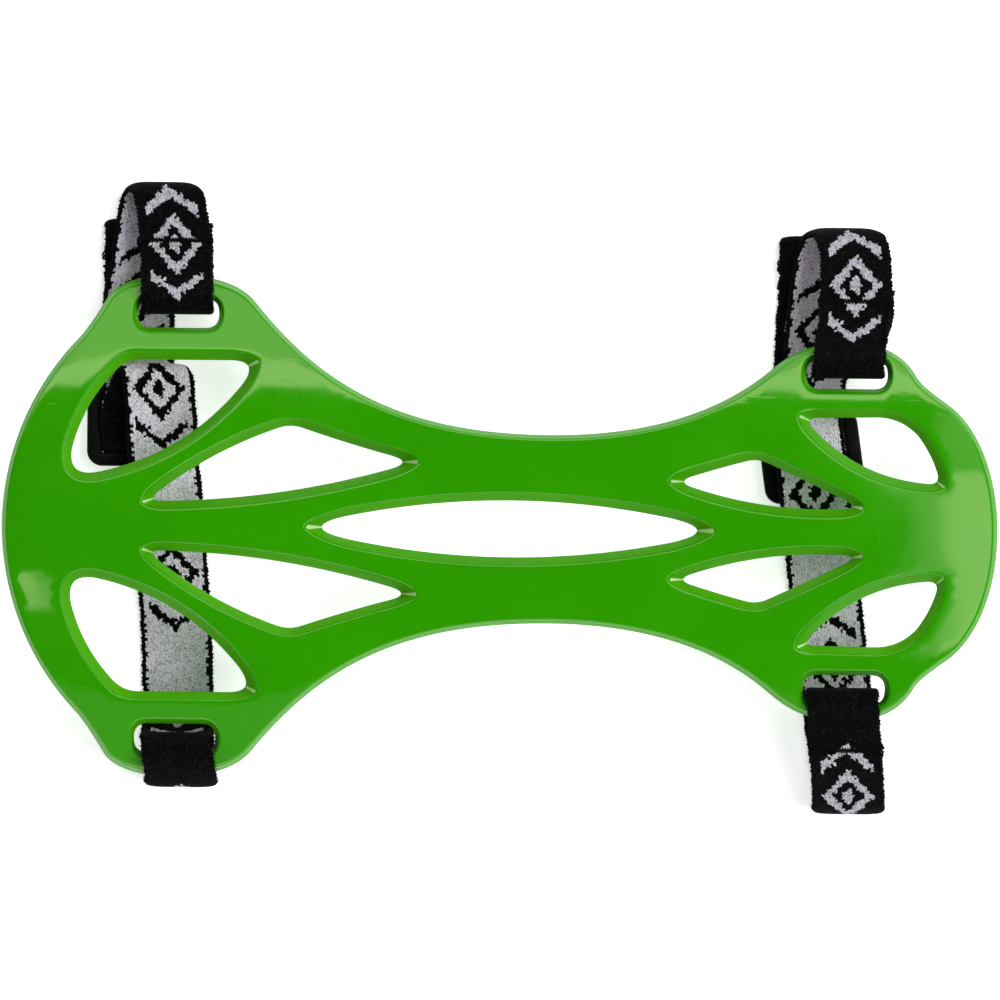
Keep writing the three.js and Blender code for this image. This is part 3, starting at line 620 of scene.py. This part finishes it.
def evenly(line, step):
    """The open line resampled to even steps, its last point left out."""
    run = np.concatenate([[0], np.cumsum(np.linalg.norm(np.diff(line, axis=0), axis=1))])
    count = max(2, round(run[-1] / step))
    at = np.linspace(0, run[-1], count + 1)[:-1]
    return np.stack([np.interp(at, run, line[:, k]) for k in range(line.shape[1])], axis=1)


def outward(points):
    """Outward directions of an anticlockwise loop."""
    along = np.roll(points, -1, axis=0) - np.roll(points, 1, axis=0)
    along /= np.linalg.norm(along, axis=1)[:, None]
    return np.stack([along[:, 1], -along[:, 0]], axis=1)


def plate_loop():
    """The plate's anticlockwise outline, the pushes in to its upper rim, and no painted highlight streaks.
    """
    shares = np.linspace(0, 1, OUTLINE_STEPS)
    start = (-HALF_LENGTH, 0.0)
    upper = []
    for first, second, end in OUTLINE:
        upper.append(bezier([start, first, second, end], shares)[:-1])
        start = end
    upper = evenly(np.concatenate([*upper, [[HALF_LENGTH, 0.0]]]), EDGE_STEP)
    lower = upper[1:] * [1, -1]
    points = np.concatenate([upper[:1], lower, [[HALF_LENGTH, 0.0]], upper[:0:-1]])
    return points, -EDGE_RIM_WIDTH * outward(points), np.zeros(len(points), bool)


def hole_loop(corners, rim, flip):
    """A hole's anticlockwise lower opening, the pushes out to its upper rim, and which tip faces carry the
    painted highlight.
    """
    if flip:
        bulges = [corners[i - 1][4] for i in range(len(corners))]
        corners = [(x, -y, soften, tip, b) for (x, y, soften, tip, _), b in zip(corners, bulges)][::-1]
    shares = np.linspace(0, 1, SIDE_STEPS)
    sides = []
    for here, there in zip(corners, corners[1:] + corners[:1]):
        a, b = np.array(here[:2]), np.array(there[:2])
        out = np.array([b[1] - a[1], a[0] - b[0]]) / np.linalg.norm(b - a)
        line = bezier([a, (a + b) / 2 + 2 * here[4] * out, b], shares)
        run = np.concatenate([[0], np.cumsum(np.linalg.norm(np.diff(line, axis=0), axis=1))])
        sides.append((line, run))

    def on_side(side, at):
        line, run = side
        return np.stack([np.interp(at, run, line[:, k]) for k in range(2)], axis=-1)

    points, turns = [], []
    spread = np.linspace(-1, 1, CORNER_STEPS + 1)[:-1]
    blend = 0.5 + 0.5 * np.sign(spread) * np.abs(spread) ** CORNER_POWER
    for i, (x, y, soften, tip, _) in enumerate(corners):
        before, side = sides[i - 1], sides[i]
        arrive = on_side(before, before[1][-1] - soften)
        leave = on_side(side, soften)
        turns.append((sum(len(part) for part in points), np.array([x, y]), arrive, leave, tip))
        points.append(bezier([arrive, (x, y), leave], blend))
        end = side[1][-1] - corners[(i + 1) % len(corners)][2]
        run = np.linspace(soften, end, max(3, round((end - soften) / EDGE_STEP)) + 1)[:-1]
        points.append(on_side(side, run))
    points = np.concatenate(points)
    pushes = rim * outward(points)
    painted_highlight = np.zeros(len(points), bool)
    for first, sharp, arrive, leave, tip in turns:
        corner = slice(first, first + CORNER_STEPS)
        away = sharp - (arrive + leave) / 2
        away /= np.linalg.norm(away)
        pushes[corner] += (tip * 4 * blend * (1 - blend))[:, None] * away
        if tip < STREAK_FROM:
            continue
        start, finish = points[first] + pushes[first], leave + pushes[first + CORNER_STEPS]
        peak = points[first + CORNER_STEPS // 2] + (rim + tip) * away
        near = 1 - np.abs(2 * blend - 1)[:, None]
        mitre = np.where(spread[:, None] < 0, start, finish) * (1 - near) + peak * near
        pushes[corner] = (pushes[corner] + mitre - points[corner]) / 2
        # The middle faces of each sharp tip get the painted highlight material
        painted_highlight[corner] = np.abs(spread + 1 / CORNER_STEPS) < STREAK_SHARE
    return points, pushes, painted_highlight


def slot_corners(centre):
    x, y = centre
    w, h = SLOT_SIZE[0] / 2, SLOT_SIZE[1] / 2
    places = [(x - w, y - h), (x + w, y - h), (x + w, y + h), (x - w, y + h)]
    return [(*place, SLOT_SOFTEN, 0.0, 0.0) for place in places]


def rim_rings(points, pushes):
    """Rings from the upper face round the fillet, down the drafted wall and round to the lower face."""
    reach = np.linalg.norm(pushes, axis=1)
    direction = pushes / reach[:, None]
    slant = np.hypot(reach, PLATE_THICKNESS)
    lean, fall = reach / slant, PLATE_THICKNESS / slant

    def ring(inset, height):
        place = points + direction * inset[:, None]
        z = plate_height(place[:, 0], place[:, 1], PLATE_THICKNESS - height)
        return np.column_stack([place, z])

    rings = []
    for t in np.linspace(0, 1, FILLET_STEPS + 1):
        inset = reach + RIM_FILLET * ((1 - t) ** 2 - t**2 * lean)
        rings.append(ring(inset, PLATE_THICKNESS - t**2 * RIM_FILLET * fall))
    for share in WALL_SHARES:
        rings.append(ring(reach * share, PLATE_THICKNESS * share * np.ones(len(points))))
    for t in np.linspace(0, 1, FOOT_STEPS):
        inset = RIM_FOOT * ((1 - t) ** 2 * lean + t**2)
        rings.append(ring(inset, (1 - t) ** 2 * RIM_FOOT * fall))
    return rings


def inside(points, loop):
    """Which plan points lie inside the loop."""
    x, y = points[:, 0], points[:, 1]
    found = np.zeros(len(points), bool)
    for (ax, ay), (bx, by) in zip(loop, np.roll(loop, -1, axis=0)):
        if ay != by:
            found ^= ((ay > y) != (by > y)) & (x < (bx - ax) * (y - ay) / (by - ay) + ax)
    return found


def face_fill(loops):
    """Inner points and triangles of the face between the first loop and the others, which are holes."""
    edge = np.concatenate(loops)
    tree = KDTree(len(edge))
    for i, (x, y) in enumerate(edge):
        tree.insert((x, y, 0), i)
    tree.balance()
    columns = np.arange(-HALF_LENGTH, HALF_LENGTH, FACE_STEP)
    rows = np.arange(-FACE_REACH, FACE_REACH, FACE_STEP * TRIANGLE_RATIO)
    grid = np.array([(x + FACE_STEP / 2 * (j % 2), y) for j, y in enumerate(rows) for x in columns])

    def in_face(points):
        kept = inside(points, loops[0])
        for loop in loops[1:]:
            kept &= ~inside(points, loop)
        return kept

    grid = grid[in_face(grid)]
    grid = np.array([p for p in grid if tree.find((*p, 0))[2] > FACE_MARGIN])
    points = np.concatenate([edge, grid])
    edges = []
    first = 0
    for loop in loops:
        count = len(loop)
        edges += [(first + i, first + (i + 1) % count) for i in range(count)]
        first += count
    places = [Vector(p) for p in points]
    _, _, faces, origin, _, _ = delaunay_2d_cdt(places, edges, [], 0, MERGE_DISTANCE)
    faces = np.array([[origin[i][0] for i in face] for face in faces])
    centres = points[faces].mean(axis=1)
    return grid, faces[in_face(centres)]


def build_plate():
    holes = [
        (ELBOW_WINDOW, RIM_WIDTH),
        (ELBOW_VENT, RIM_WIDTH),
        (WRIST_VENT, RIM_WIDTH),
        (WRIST_WINDOW, RIM_WIDTH),
        (slot_corners(ELBOW_SLOT), SLOT_RIM_WIDTH),
        (slot_corners(WRIST_SLOT), SLOT_RIM_WIDTH),
    ]
    # Material slots: face, wall with painted light, tip streak with a painted highlight
    face, wall, streak = range(3)
    loops = [plate_loop(), hole_loop(MIDDLE_VENT, RIM_WIDTH, False)]
    for corners, rim in holes:
        loops += [hole_loop(corners, rim, False), hole_loop(corners, rim, True)]
    stacks = [rim_rings(points, pushes) for points, pushes, _ in loops]
    points, faces, shades = [], [], []
    tops, feet = [], []
    count = 0
    for rings, (_, _, painted_highlight) in zip(stacks, loops):
        size = len(rings[0])
        points += rings
        tops.append(count + np.arange(size))
        feet.append(count + (len(rings) - 1) * size + np.arange(size))
        for k in range(len(rings) - 1):
            low = count + k * size
            for i in range(size):
                j = (i + 1) % size
                faces.append((low + i, low + j, low + size + j, low + size + i))
                # Streak faces at sharp tips take the painted highlight material
                shades.append(face if k < FILLET_STEPS else streak if painted_highlight[i] else wall)
        count += len(rings) * size
    for level, depth, ids in ((0, 0.0, tops), (-1, PLATE_THICKNESS, feet)):
        grid, triangles = face_fill([rings[level][:, :2] for rings in stacks])
        points.append(np.column_stack([grid, plate_height(grid[:, 0], grid[:, 1], depth)]))
        index = np.concatenate([*ids, count + np.arange(len(grid))])
        faces += index[triangles].tolist()
        shades += [face] * len(triangles)
        count += len(grid)
    materials = [GREEN, GREEN_PAINTED_LIT_WALL, GREEN_PAINTED_HIGHLIGHT]
    piece = new_piece("plate", np.concatenate(points), faces, "guard_plate", materials)
    piece.data.polygons.foreach_set("material_index", shades)
    face_outwards(piece)


# Straps


class Line:
    """A strap's smooth centre line: runs along it, centres, widthways and facing directions."""

    def __init__(self, rows, folds):
        knots = np.array(rows, float)
        knots = np.concatenate([[2 * knots[0] - knots[1]], knots, [2 * knots[-1] - knots[-2]]])
        pieces = []
        for p0, p1, p2, p3 in zip(knots, knots[1:], knots[2:], knots[3:]):
            pairs = ((p0, p1), (p1, p2), (p2, p3))
            gaps = [max(SHORTEST_GAP, np.linalg.norm(b[:3] - a[:3])) ** 0.5 for a, b in pairs]
            t0, t1, t2, t3 = np.cumsum([0.0, *gaps])
            t = np.linspace(t1, t2, SPLINE_STEPS, endpoint=False)[:, None]
            a1 = (t1 - t) / (t1 - t0) * p0 + (t - t0) / (t1 - t0) * p1
            a2 = (t2 - t) / (t2 - t1) * p1 + (t - t1) / (t2 - t1) * p2
            a3 = (t3 - t) / (t3 - t2) * p2 + (t - t2) / (t3 - t2) * p3
            b1 = (t2 - t) / (t2 - t0) * a1 + (t - t0) / (t2 - t0) * a2
            b2 = (t3 - t) / (t3 - t1) * a2 + (t - t1) / (t3 - t1) * a3
            pieces.append((t2 - t) / (t2 - t1) * b1 + (t - t1) / (t2 - t1) * b2)
        line = np.concatenate([*pieces, knots[-2:-1]])
        run = np.concatenate([[0], np.cumsum(np.linalg.norm(np.diff(line[:, :3], axis=0), axis=1))])
        self.at = np.linspace(0, run[-1], round(run[-1] / ROW_STEP) + 1)
        even = np.stack([np.interp(self.at, run, line[:, k]) for k in range(4)], axis=1)
        lean = np.radians(even[:, 3])
        self.centre = even[:, :3]
        self.across = np.stack([np.cos(lean), np.sin(lean), np.zeros(len(lean))], axis=1)
        face = np.cross(self.across, np.gradient(self.centre, axis=0))
        self.face = face / np.linalg.norm(face, axis=1)[:, None]
        self.folds = []
        for *place, curl in folds:
            i = self.row(place)
            inward = self.centre[i - FOLD_ROWS] + self.centre[i + FOLD_ROWS] - 2 * self.centre[i]
            self.folds.append((self.at[i], curl * inward / np.linalg.norm(inward)))

    def row(self, place):
        """The row that comes nearest to a place."""
        return np.argmin(np.linalg.norm(self.centre - np.array(place), axis=1))

    def near(self, place):
        """How far along the line comes nearest to a place."""
        return self.at[self.row(place)]

    def spot(self, along, u, lift):
        """The place so far along, across and off the line."""
        centre, across, face = (
            np.array([np.interp(along, self.at, part[:, k]) for k in range(3)])
            for part in (self.centre, self.across, self.face)
        )
        return centre + across * u + face * lift + self.curl(np.array(along), np.array(u))

    def curl(self, along, u):
        """How far the edges draw in at the folds, which rounds their corners."""
        moved = np.zeros(3)
        for at, draw in self.folds:
            pull = np.exp(-(((along - at) / FOLD_RUN) ** 2)) * np.abs(2 * u / STRAP_WIDTH) ** FOLD_POWER
            moved = moved + pull[..., None] * draw
        return moved


def section():
    """Round-edged section of a strap, anticlockwise: u across and n through it."""
    half, thick = STRAP_WIDTH / 2, STRAP_THICKNESS / 2
    flat = np.linspace(-half + EDGE_ROUND, half - EDGE_ROUND, FACE_COLUMNS + 1)
    turn = np.radians(np.linspace(-90, 90, EDGE_STEPS * 2 + 1)[1:-1])
    rows = [(u, -thick) for u in flat]
    rows += [(half - EDGE_ROUND + EDGE_ROUND * math.cos(a), thick * math.sin(a)) for a in turn]
    rows += [(u, thick) for u in flat[::-1]]
    rows += [(-half + EDGE_ROUND - EDGE_ROUND * math.cos(a), thick * math.sin(a)) for a in turn[::-1]]
    return np.array(rows)


def wandering(at, step, reach):
    """A random wander along a strap, one new value every step."""
    knots = np.arange(0, at[-1] + step, step)
    return np.interp(at, knots, [rng.uniform(-reach, reach) for _ in knots])


def build_strap(node, rows, outer, figure, seams, folds):
    """A strap piece with its stitches."""
    line = Line(rows, folds)
    ring = section()
    u, n = ring[:, 0], ring[:, 1]
    size, count = len(ring), len(line.at)
    thin = np.ones(count)
    for seam in seams:
        thin -= SEAM_PINCH * np.exp(-(((line.at - line.near(seam[:3])) / SEAM_WIDTH) ** 2))
    near_edge = np.clip(np.abs(u) - STRAP_WIDTH / 2 + WANDER_WIDTH, 0, 1)
    scallop = SCALLOP_DEPTH * np.cos(2 * np.pi * line.at / SCALLOP_PITCH)
    left = scallop + wandering(line.at, WANDER_STEP, EDGE_WANDER)
    right = scallop + wandering(line.at, WANDER_STEP, EDGE_WANDER)
    bumps = np.where(u[None, :] < 0, -left[:, None], right[:, None])
    wide = u[None, :] + near_edge[None, :] * bumps
    deep = n[None, :] * thin[:, None]
    points = line.centre[:, None] + line.across[:, None] * wide[..., None]
    points = points + line.face[:, None] * deep[..., None]
    points = points + line.curl(line.at[:, None], wide)
    points[..., 2] = np.maximum(points[..., 2], 0.0)

    start = -line.near(figure)
    faces, shades, weave = [], [], []
    upper = FACE_COLUMNS + 2 * EDGE_STEPS
    for i in range(count - 1):
        for k in range(size):
            j = (k + 1) % size
            faces.append((i * size + k, i * size + j, (i + 1) * size + j, (i + 1) * size + k))
            inner = k < FACE_COLUMNS if outer > 0 else upper <= k < upper + FACE_COLUMNS
            shades.append(int(inner))
            for row, column in ((i, k), (i, j), (i + 1, j), (i + 1, k)):
                weave += [u[column], line.at[row] + start]
    for i, order in ((0, 1), (count - 1, -1)):
        cap = range(size)[::order]
        faces.append(tuple(i * size + k for k in cap))
        shades.append(0)
        for k in cap:
            weave += [u[k], line.at[i] + start]
    points = points.reshape(-1, 3)
    piece = new_piece("knit_" + node, points, faces, node, [OUTER, INNER])
    piece.data.polygons.foreach_set("material_index", shades)
    piece.data.uv_layers.new(name="weave").data.foreach_set("uv", weave)
    face_outwards(piece)

    threads = edge_fuzz(line)
    for seam in seams:
        threads += seam_threads(line, line.near(seam[:3]), outer, seam[3])
    build_threads(node, threads)


# Threads

THREAD_RADIUS = 0.13
THREAD_SIDES = 6
OFF_AXIS = (0.31, 0.17, 0.93)
SEWN_HALF_WIDTH = 5.9
STITCH_PITCH = 0.24
STITCH_HALF = 0.5
STITCH_STRAY = 0.08
LOOSE_RADIUS = 0.17
LOOSE_CURL = 1.0
LOOSE_REACH = (0.05, 0.4)
LOOSE_LIFT = 0.6
LOOSE_SPREAD = 0.6
LOOSE_ROOT = 0.4
LOOSE_TURN = 2.5
LOOSE_POINTS = 8
FUZZ_RADIUS = 0.022
FUZZ_SIDES = 3
FUZZ_PER_MM = 2.6
FUZZ_FROM_END = 0.2
FUZZ_REACH = (0.1, 0.5)
FUZZ_SLANT = 0.4
FUZZ_LIFT = 0.5
FUZZ_ROOT = 0.25
FUZZ_BOW = 0.4
FUZZ_DROOP = 0.6

# Points of a stitch: share of its turn, share of its pitch and lift off the band
STITCH_POINTS = ((1.0, 0.0, -0.05), (0.6, 0.2, 0.13), (-0.6, 0.8, 0.13))


def seam_threads(line, along, side, loose):
    """Zigzag stitches across a strap with so many loose thread ends at both edges."""
    rise = STRAP_THICKNESS / 2 * (1 - SEAM_PINCH)
    stitches = []
    for k, u in enumerate(np.arange(-SEWN_HALF_WIDTH, SEWN_HALF_WIDTH, STITCH_PITCH)):
        turn = STITCH_HALF if k % 2 else -STITCH_HALF
        for share, step, lift in STITCH_POINTS:
            at = along + turn * share + rng.uniform(-STITCH_STRAY, STITCH_STRAY)
            stitches.append(line.spot(at, u + step * STITCH_PITCH, side * (rise + lift)))
    threads = [(np.array(stitches), THREAD_RADIUS)]
    for edge in (-1, 1):
        for _ in range(loose):
            threads.append((loose_end(line, along, edge, side), LOOSE_RADIUS))
    return threads


def loose_end(line, along, edge, side):
    """A short curling thread end at a strap's edge."""
    curl = rng.uniform(-LOOSE_CURL, LOOSE_CURL)
    reach = rng.uniform(*LOOSE_REACH)
    lift = side * rng.uniform(0.0, LOOSE_LIFT)
    at = along + rng.uniform(-LOOSE_SPREAD, LOOSE_SPREAD)
    places = []
    for t in np.linspace(0, 1, LOOSE_POINTS):
        out = STRAP_WIDTH / 2 - LOOSE_ROOT + (LOOSE_ROOT + reach) * math.sin(LOOSE_TURN * t)
        places.append(line.spot(at + curl * t * t, edge * out, lift * (1 - t)))
    return np.array(places)


def edge_fuzz(line):
    """Short fibres that stand off both edges of a strap."""
    fibres = []
    for edge in (-1, 1):
        for _ in range(round(line.at[-1] * FUZZ_PER_MM)):
            at = rng.uniform(FUZZ_FROM_END, line.at[-1] - FUZZ_FROM_END)
            reach = rng.uniform(*FUZZ_REACH)
            slant = rng.uniform(-FUZZ_SLANT, FUZZ_SLANT)
            lift = rng.uniform(-FUZZ_LIFT, FUZZ_LIFT)
            u = edge * (STRAP_WIDTH / 2 - FUZZ_ROOT)
            middle = line.spot(at + slant * FUZZ_BOW, u + edge * (FUZZ_ROOT + reach * 0.5), lift)
            end = line.spot(at + slant, u + edge * (FUZZ_ROOT + reach), lift * FUZZ_DROOP)
            fibres.append((np.array([line.spot(at, u, lift), middle, end]), FUZZ_RADIUS))
    return fibres


def build_threads(node, threads):
    """All of a strap's threads as one piece of thin tubes."""
    points, faces = [], []
    for places, radius in threads:
        sides = THREAD_SIDES if radius > FUZZ_RADIUS else FUZZ_SIDES
        along = np.gradient(places, axis=0)
        along /= np.linalg.norm(along, axis=1)[:, None]
        side = np.cross(along, OFF_AXIS)
        side /= np.linalg.norm(side, axis=1)[:, None]
        up = np.cross(along, side)
        first = sum(len(part) for part in points)
        places[:, 2] = np.maximum(places[:, 2], radius)
        for place, a, b in zip(places, side, up):
            turn = np.linspace(0, 2 * np.pi, sides, endpoint=False)[:, None]
            points.append(place + radius * (np.cos(turn) * a + np.sin(turn) * b))
        for i in range(len(places) - 1):
            low = first + i * sides
            for k in range(sides):
                j = (k + 1) % sides
                faces.append((low + k, low + j, low + sides + j, low + sides + k))
        faces.append(tuple(first + k for k in range(sides)))
        faces.append(tuple(first + (len(places) - 1) * sides + k for k in range(sides)))
    piece = new_piece("thread_" + node, np.concatenate(points), faces, node, [THREAD])
    face_outwards(piece)


# Sliders


def build_slider(node, slider):
    """A slider: a round-cornered frame with a middle bar."""
    x, y, turn = slider
    half_x = (SLIDER_WIDTH - RAIL_WIDTH) / 2
    low, high = END_BAR_SIZE / 2, TOP_BAR_FROM_END
    corners = [(half_x, high), (-half_x, high), (-half_x, low), (half_x, low)]
    line = []
    for k, (cx, cy) in enumerate(corners):
        sx, sy = (1 if cx > 0 else -1), (1 if cy > low else -1)
        centre = (cx - sx * SLIDER_CORNER, cy - sy * SLIDER_CORNER)
        for a in np.radians(np.linspace(90 * k, 90 * k + 90, SLIDER_CORNER_POINTS)):
            across = centre[0] + SLIDER_CORNER * math.cos(a)
            line.append((across, centre[1] + SLIDER_CORNER * math.sin(a)))
    line = np.array(line)
    points, faces = [], []

    def tube(centres, outs, closed):
        first = len(points)
        ring = np.radians(np.arange(0, 360, SLIDER_RING_STEP) + SLIDER_RING_STEP / 2)
        for (px, py), (ox, oy) in zip(centres, outs):
            rail = abs(ox)
            bar = END_BAR_SIZE if oy < 0 else BAR_SIZE
            width = bar / 2 + (RAIL_WIDTH - bar) / 2 * rail
            height = BAR_SIZE / 2 + (SLIDER_THICKNESS - BAR_SIZE) / 2 * rail
            for a in ring:
                c, s = math.cos(a), math.sin(a)
                w = width * math.copysign(abs(c) ** SLIDER_SQUARENESS, c)
                h = height * math.copysign(abs(s) ** SLIDER_SQUARENESS, s)
                points.append((px + ox * w, py + oy * w, h))
        size = len(ring)
        for i in range(len(centres) - (0 if closed else 1)):
            a, b = first + i * size, first + (i + 1) % len(centres) * size
            faces.extend((a + k, b + k, b + (k + 1) % size, a + (k + 1) % size) for k in range(size))

    tube(line, outward(line), True)
    bar = [(half_x * t, SEWN_BAR_FROM_END) for t in np.linspace(-1, 1, BAR_POINTS)]
    tube(bar, [(0, 1)] * len(bar), False)
    spin = math.radians(turn)
    local = np.array(points)
    placed = np.column_stack([
        x + local[:, 0] * math.cos(spin) - local[:, 1] * math.sin(spin),
        y + local[:, 0] * math.sin(spin) + local[:, 1] * math.cos(spin),
        SLIDER_HEIGHT + local[:, 2],
    ])
    face_outwards(new_piece("plastic_" + node, placed, faces, node, [BLACK]))


build_plate()
for node, strap in STRAPS.items():
    build_strap(node, *strap)
build_slider("elbow_slider", ELBOW_SLIDER)
build_slider("wrist_slider", WRIST_SLIDER)


# Stage, in metres

FLOOR_HALF = 2
FLOOR_DROP = 0.0001
SIDEWAYS = 0.9
LENS = 620
SENSOR = 36
PICTURE_WIDTH = 0.17553
CAMERA_REACH = 20
CAMERA_SHIFT = -0.00035
CAMERA_ROLL = 0.55
FOCUS_HEIGHT = 0.02
WORLD_COLOUR = (0.015, 0.015, 0.015, 1)

# Lights: place, size across and along, radiance, turn in degrees, seen in gloss, lights matt faces
LIGHTS = {
    "back": ((0.0, 1.02, 0.7), (1.9, 0.53), 2.6, 0, True, True),
    "back_top": ((0.0, 0.8, 0.95), (1.9, 0.15), 5.2, 0, True, False),
    "front": ((0.0, -1.05, 0.66), (1.5, 0.6), 0.5, 0, True, True),
    "front_low": ((0.0, -1.3, 0.3), (1.8, 0.4), 3.0, 0, True, True),
    "left": ((-1.15, 0.05, 0.3), (1.2, 0.4), 0.5, 0, True, True),
    "right": ((1.15, 0.05, 0.3), (1.2, 0.4), 3.4, 0, True, False),
    "overhead_right": ((0.393, -0.17, 1.1), (0.215, 1.06), 4.8, 0, True, False),
    "overhead_right_far": ((0.393, 0.53, 1.1), (0.215, 0.34), 1.5, 0, True, True),
    "overhead_right_edge": ((0.262, -0.15, 1.1), (0.046, 1.0), 1.5, 0, True, True),
    "overhead_left": ((-0.333, -0.35, 1.1), (0.044, 0.2), 4.8, 6, True, True),
    "overhead_left_edge": ((-0.296, -0.37, 1.1), (0.03, 0.16), 2.2, 6, True, True),
    "fill_right": ((1.9, 0.0, 2.7), (2.4, 2.4), 6.3, 0, False, True),
    "fill_left": ((-2.4, -0.2, 0.75), (2.0, 0.8), 2.0, 0, False, True),
}


def build_floor():
    mesh = bpy.data.meshes.new("floor")
    corners = [(x * FLOOR_HALF, y * FLOOR_HALF, 0) for x, y in ((-1, -1), (1, -1), (1, 1), (-1, 1))]
    mesh.from_pydata(corners, [], [(0, 1, 2, 3)])
    mesh.materials.append(pale_floor())
    floor = bpy.data.objects.new("floor", mesh)
    floor.location.z = -FLOOR_DROP
    bpy.context.scene.collection.objects.link(floor)


def softbox(name, place, size, radiance, turn, mirrored, lighting):
    """A rectangular light that looks at the origin, turned about that line."""
    data = bpy.data.lights.new(name, "AREA")
    data.shape = "RECTANGLE"
    data.size, data.size_y = size
    data.energy = radiance * math.pi * size[0] * size[1]
    back = Vector(place).normalized()
    side = Vector((1, 0, 0)) if abs(back.x) < SIDEWAYS else Vector((0, 1, 0))
    side = (side - back * side.dot(back)).normalized()
    up = back.cross(side)
    lamp = bpy.data.objects.new(name, data)
    lamp.visible_glossy = mirrored
    lamp.visible_diffuse = lighting
    aim = Matrix((side, up, back)).transposed().to_4x4()
    lamp.matrix_world = Matrix.Translation(place) @ aim @ Matrix.Rotation(math.radians(turn), 4, "Z")
    bpy.context.scene.collection.objects.link(lamp)


def build_camera():
    data = bpy.data.cameras.new("camera")
    data.lens = LENS
    data.sensor_width = SENSOR
    data.clip_end = CAMERA_REACH
    camera = bpy.data.objects.new("camera", data)
    camera.location = (0, CAMERA_SHIFT, FOCUS_HEIGHT + LENS / SENSOR * PICTURE_WIDTH)
    camera.rotation_euler = (0, 0, math.radians(CAMERA_ROLL))
    bpy.context.scene.collection.objects.link(camera)
    bpy.context.scene.camera = camera


build_floor()
for name, light in LIGHTS.items():
    softbox(name, *light)
world = bpy.data.worlds.new("studio")
world.use_nodes = True
world.node_tree.nodes["Background"].inputs["Color"].default_value = WORLD_COLOUR
bpy.context.scene.world = world
bpy.context.scene.view_settings.view_transform = "Standard"
build_camera()
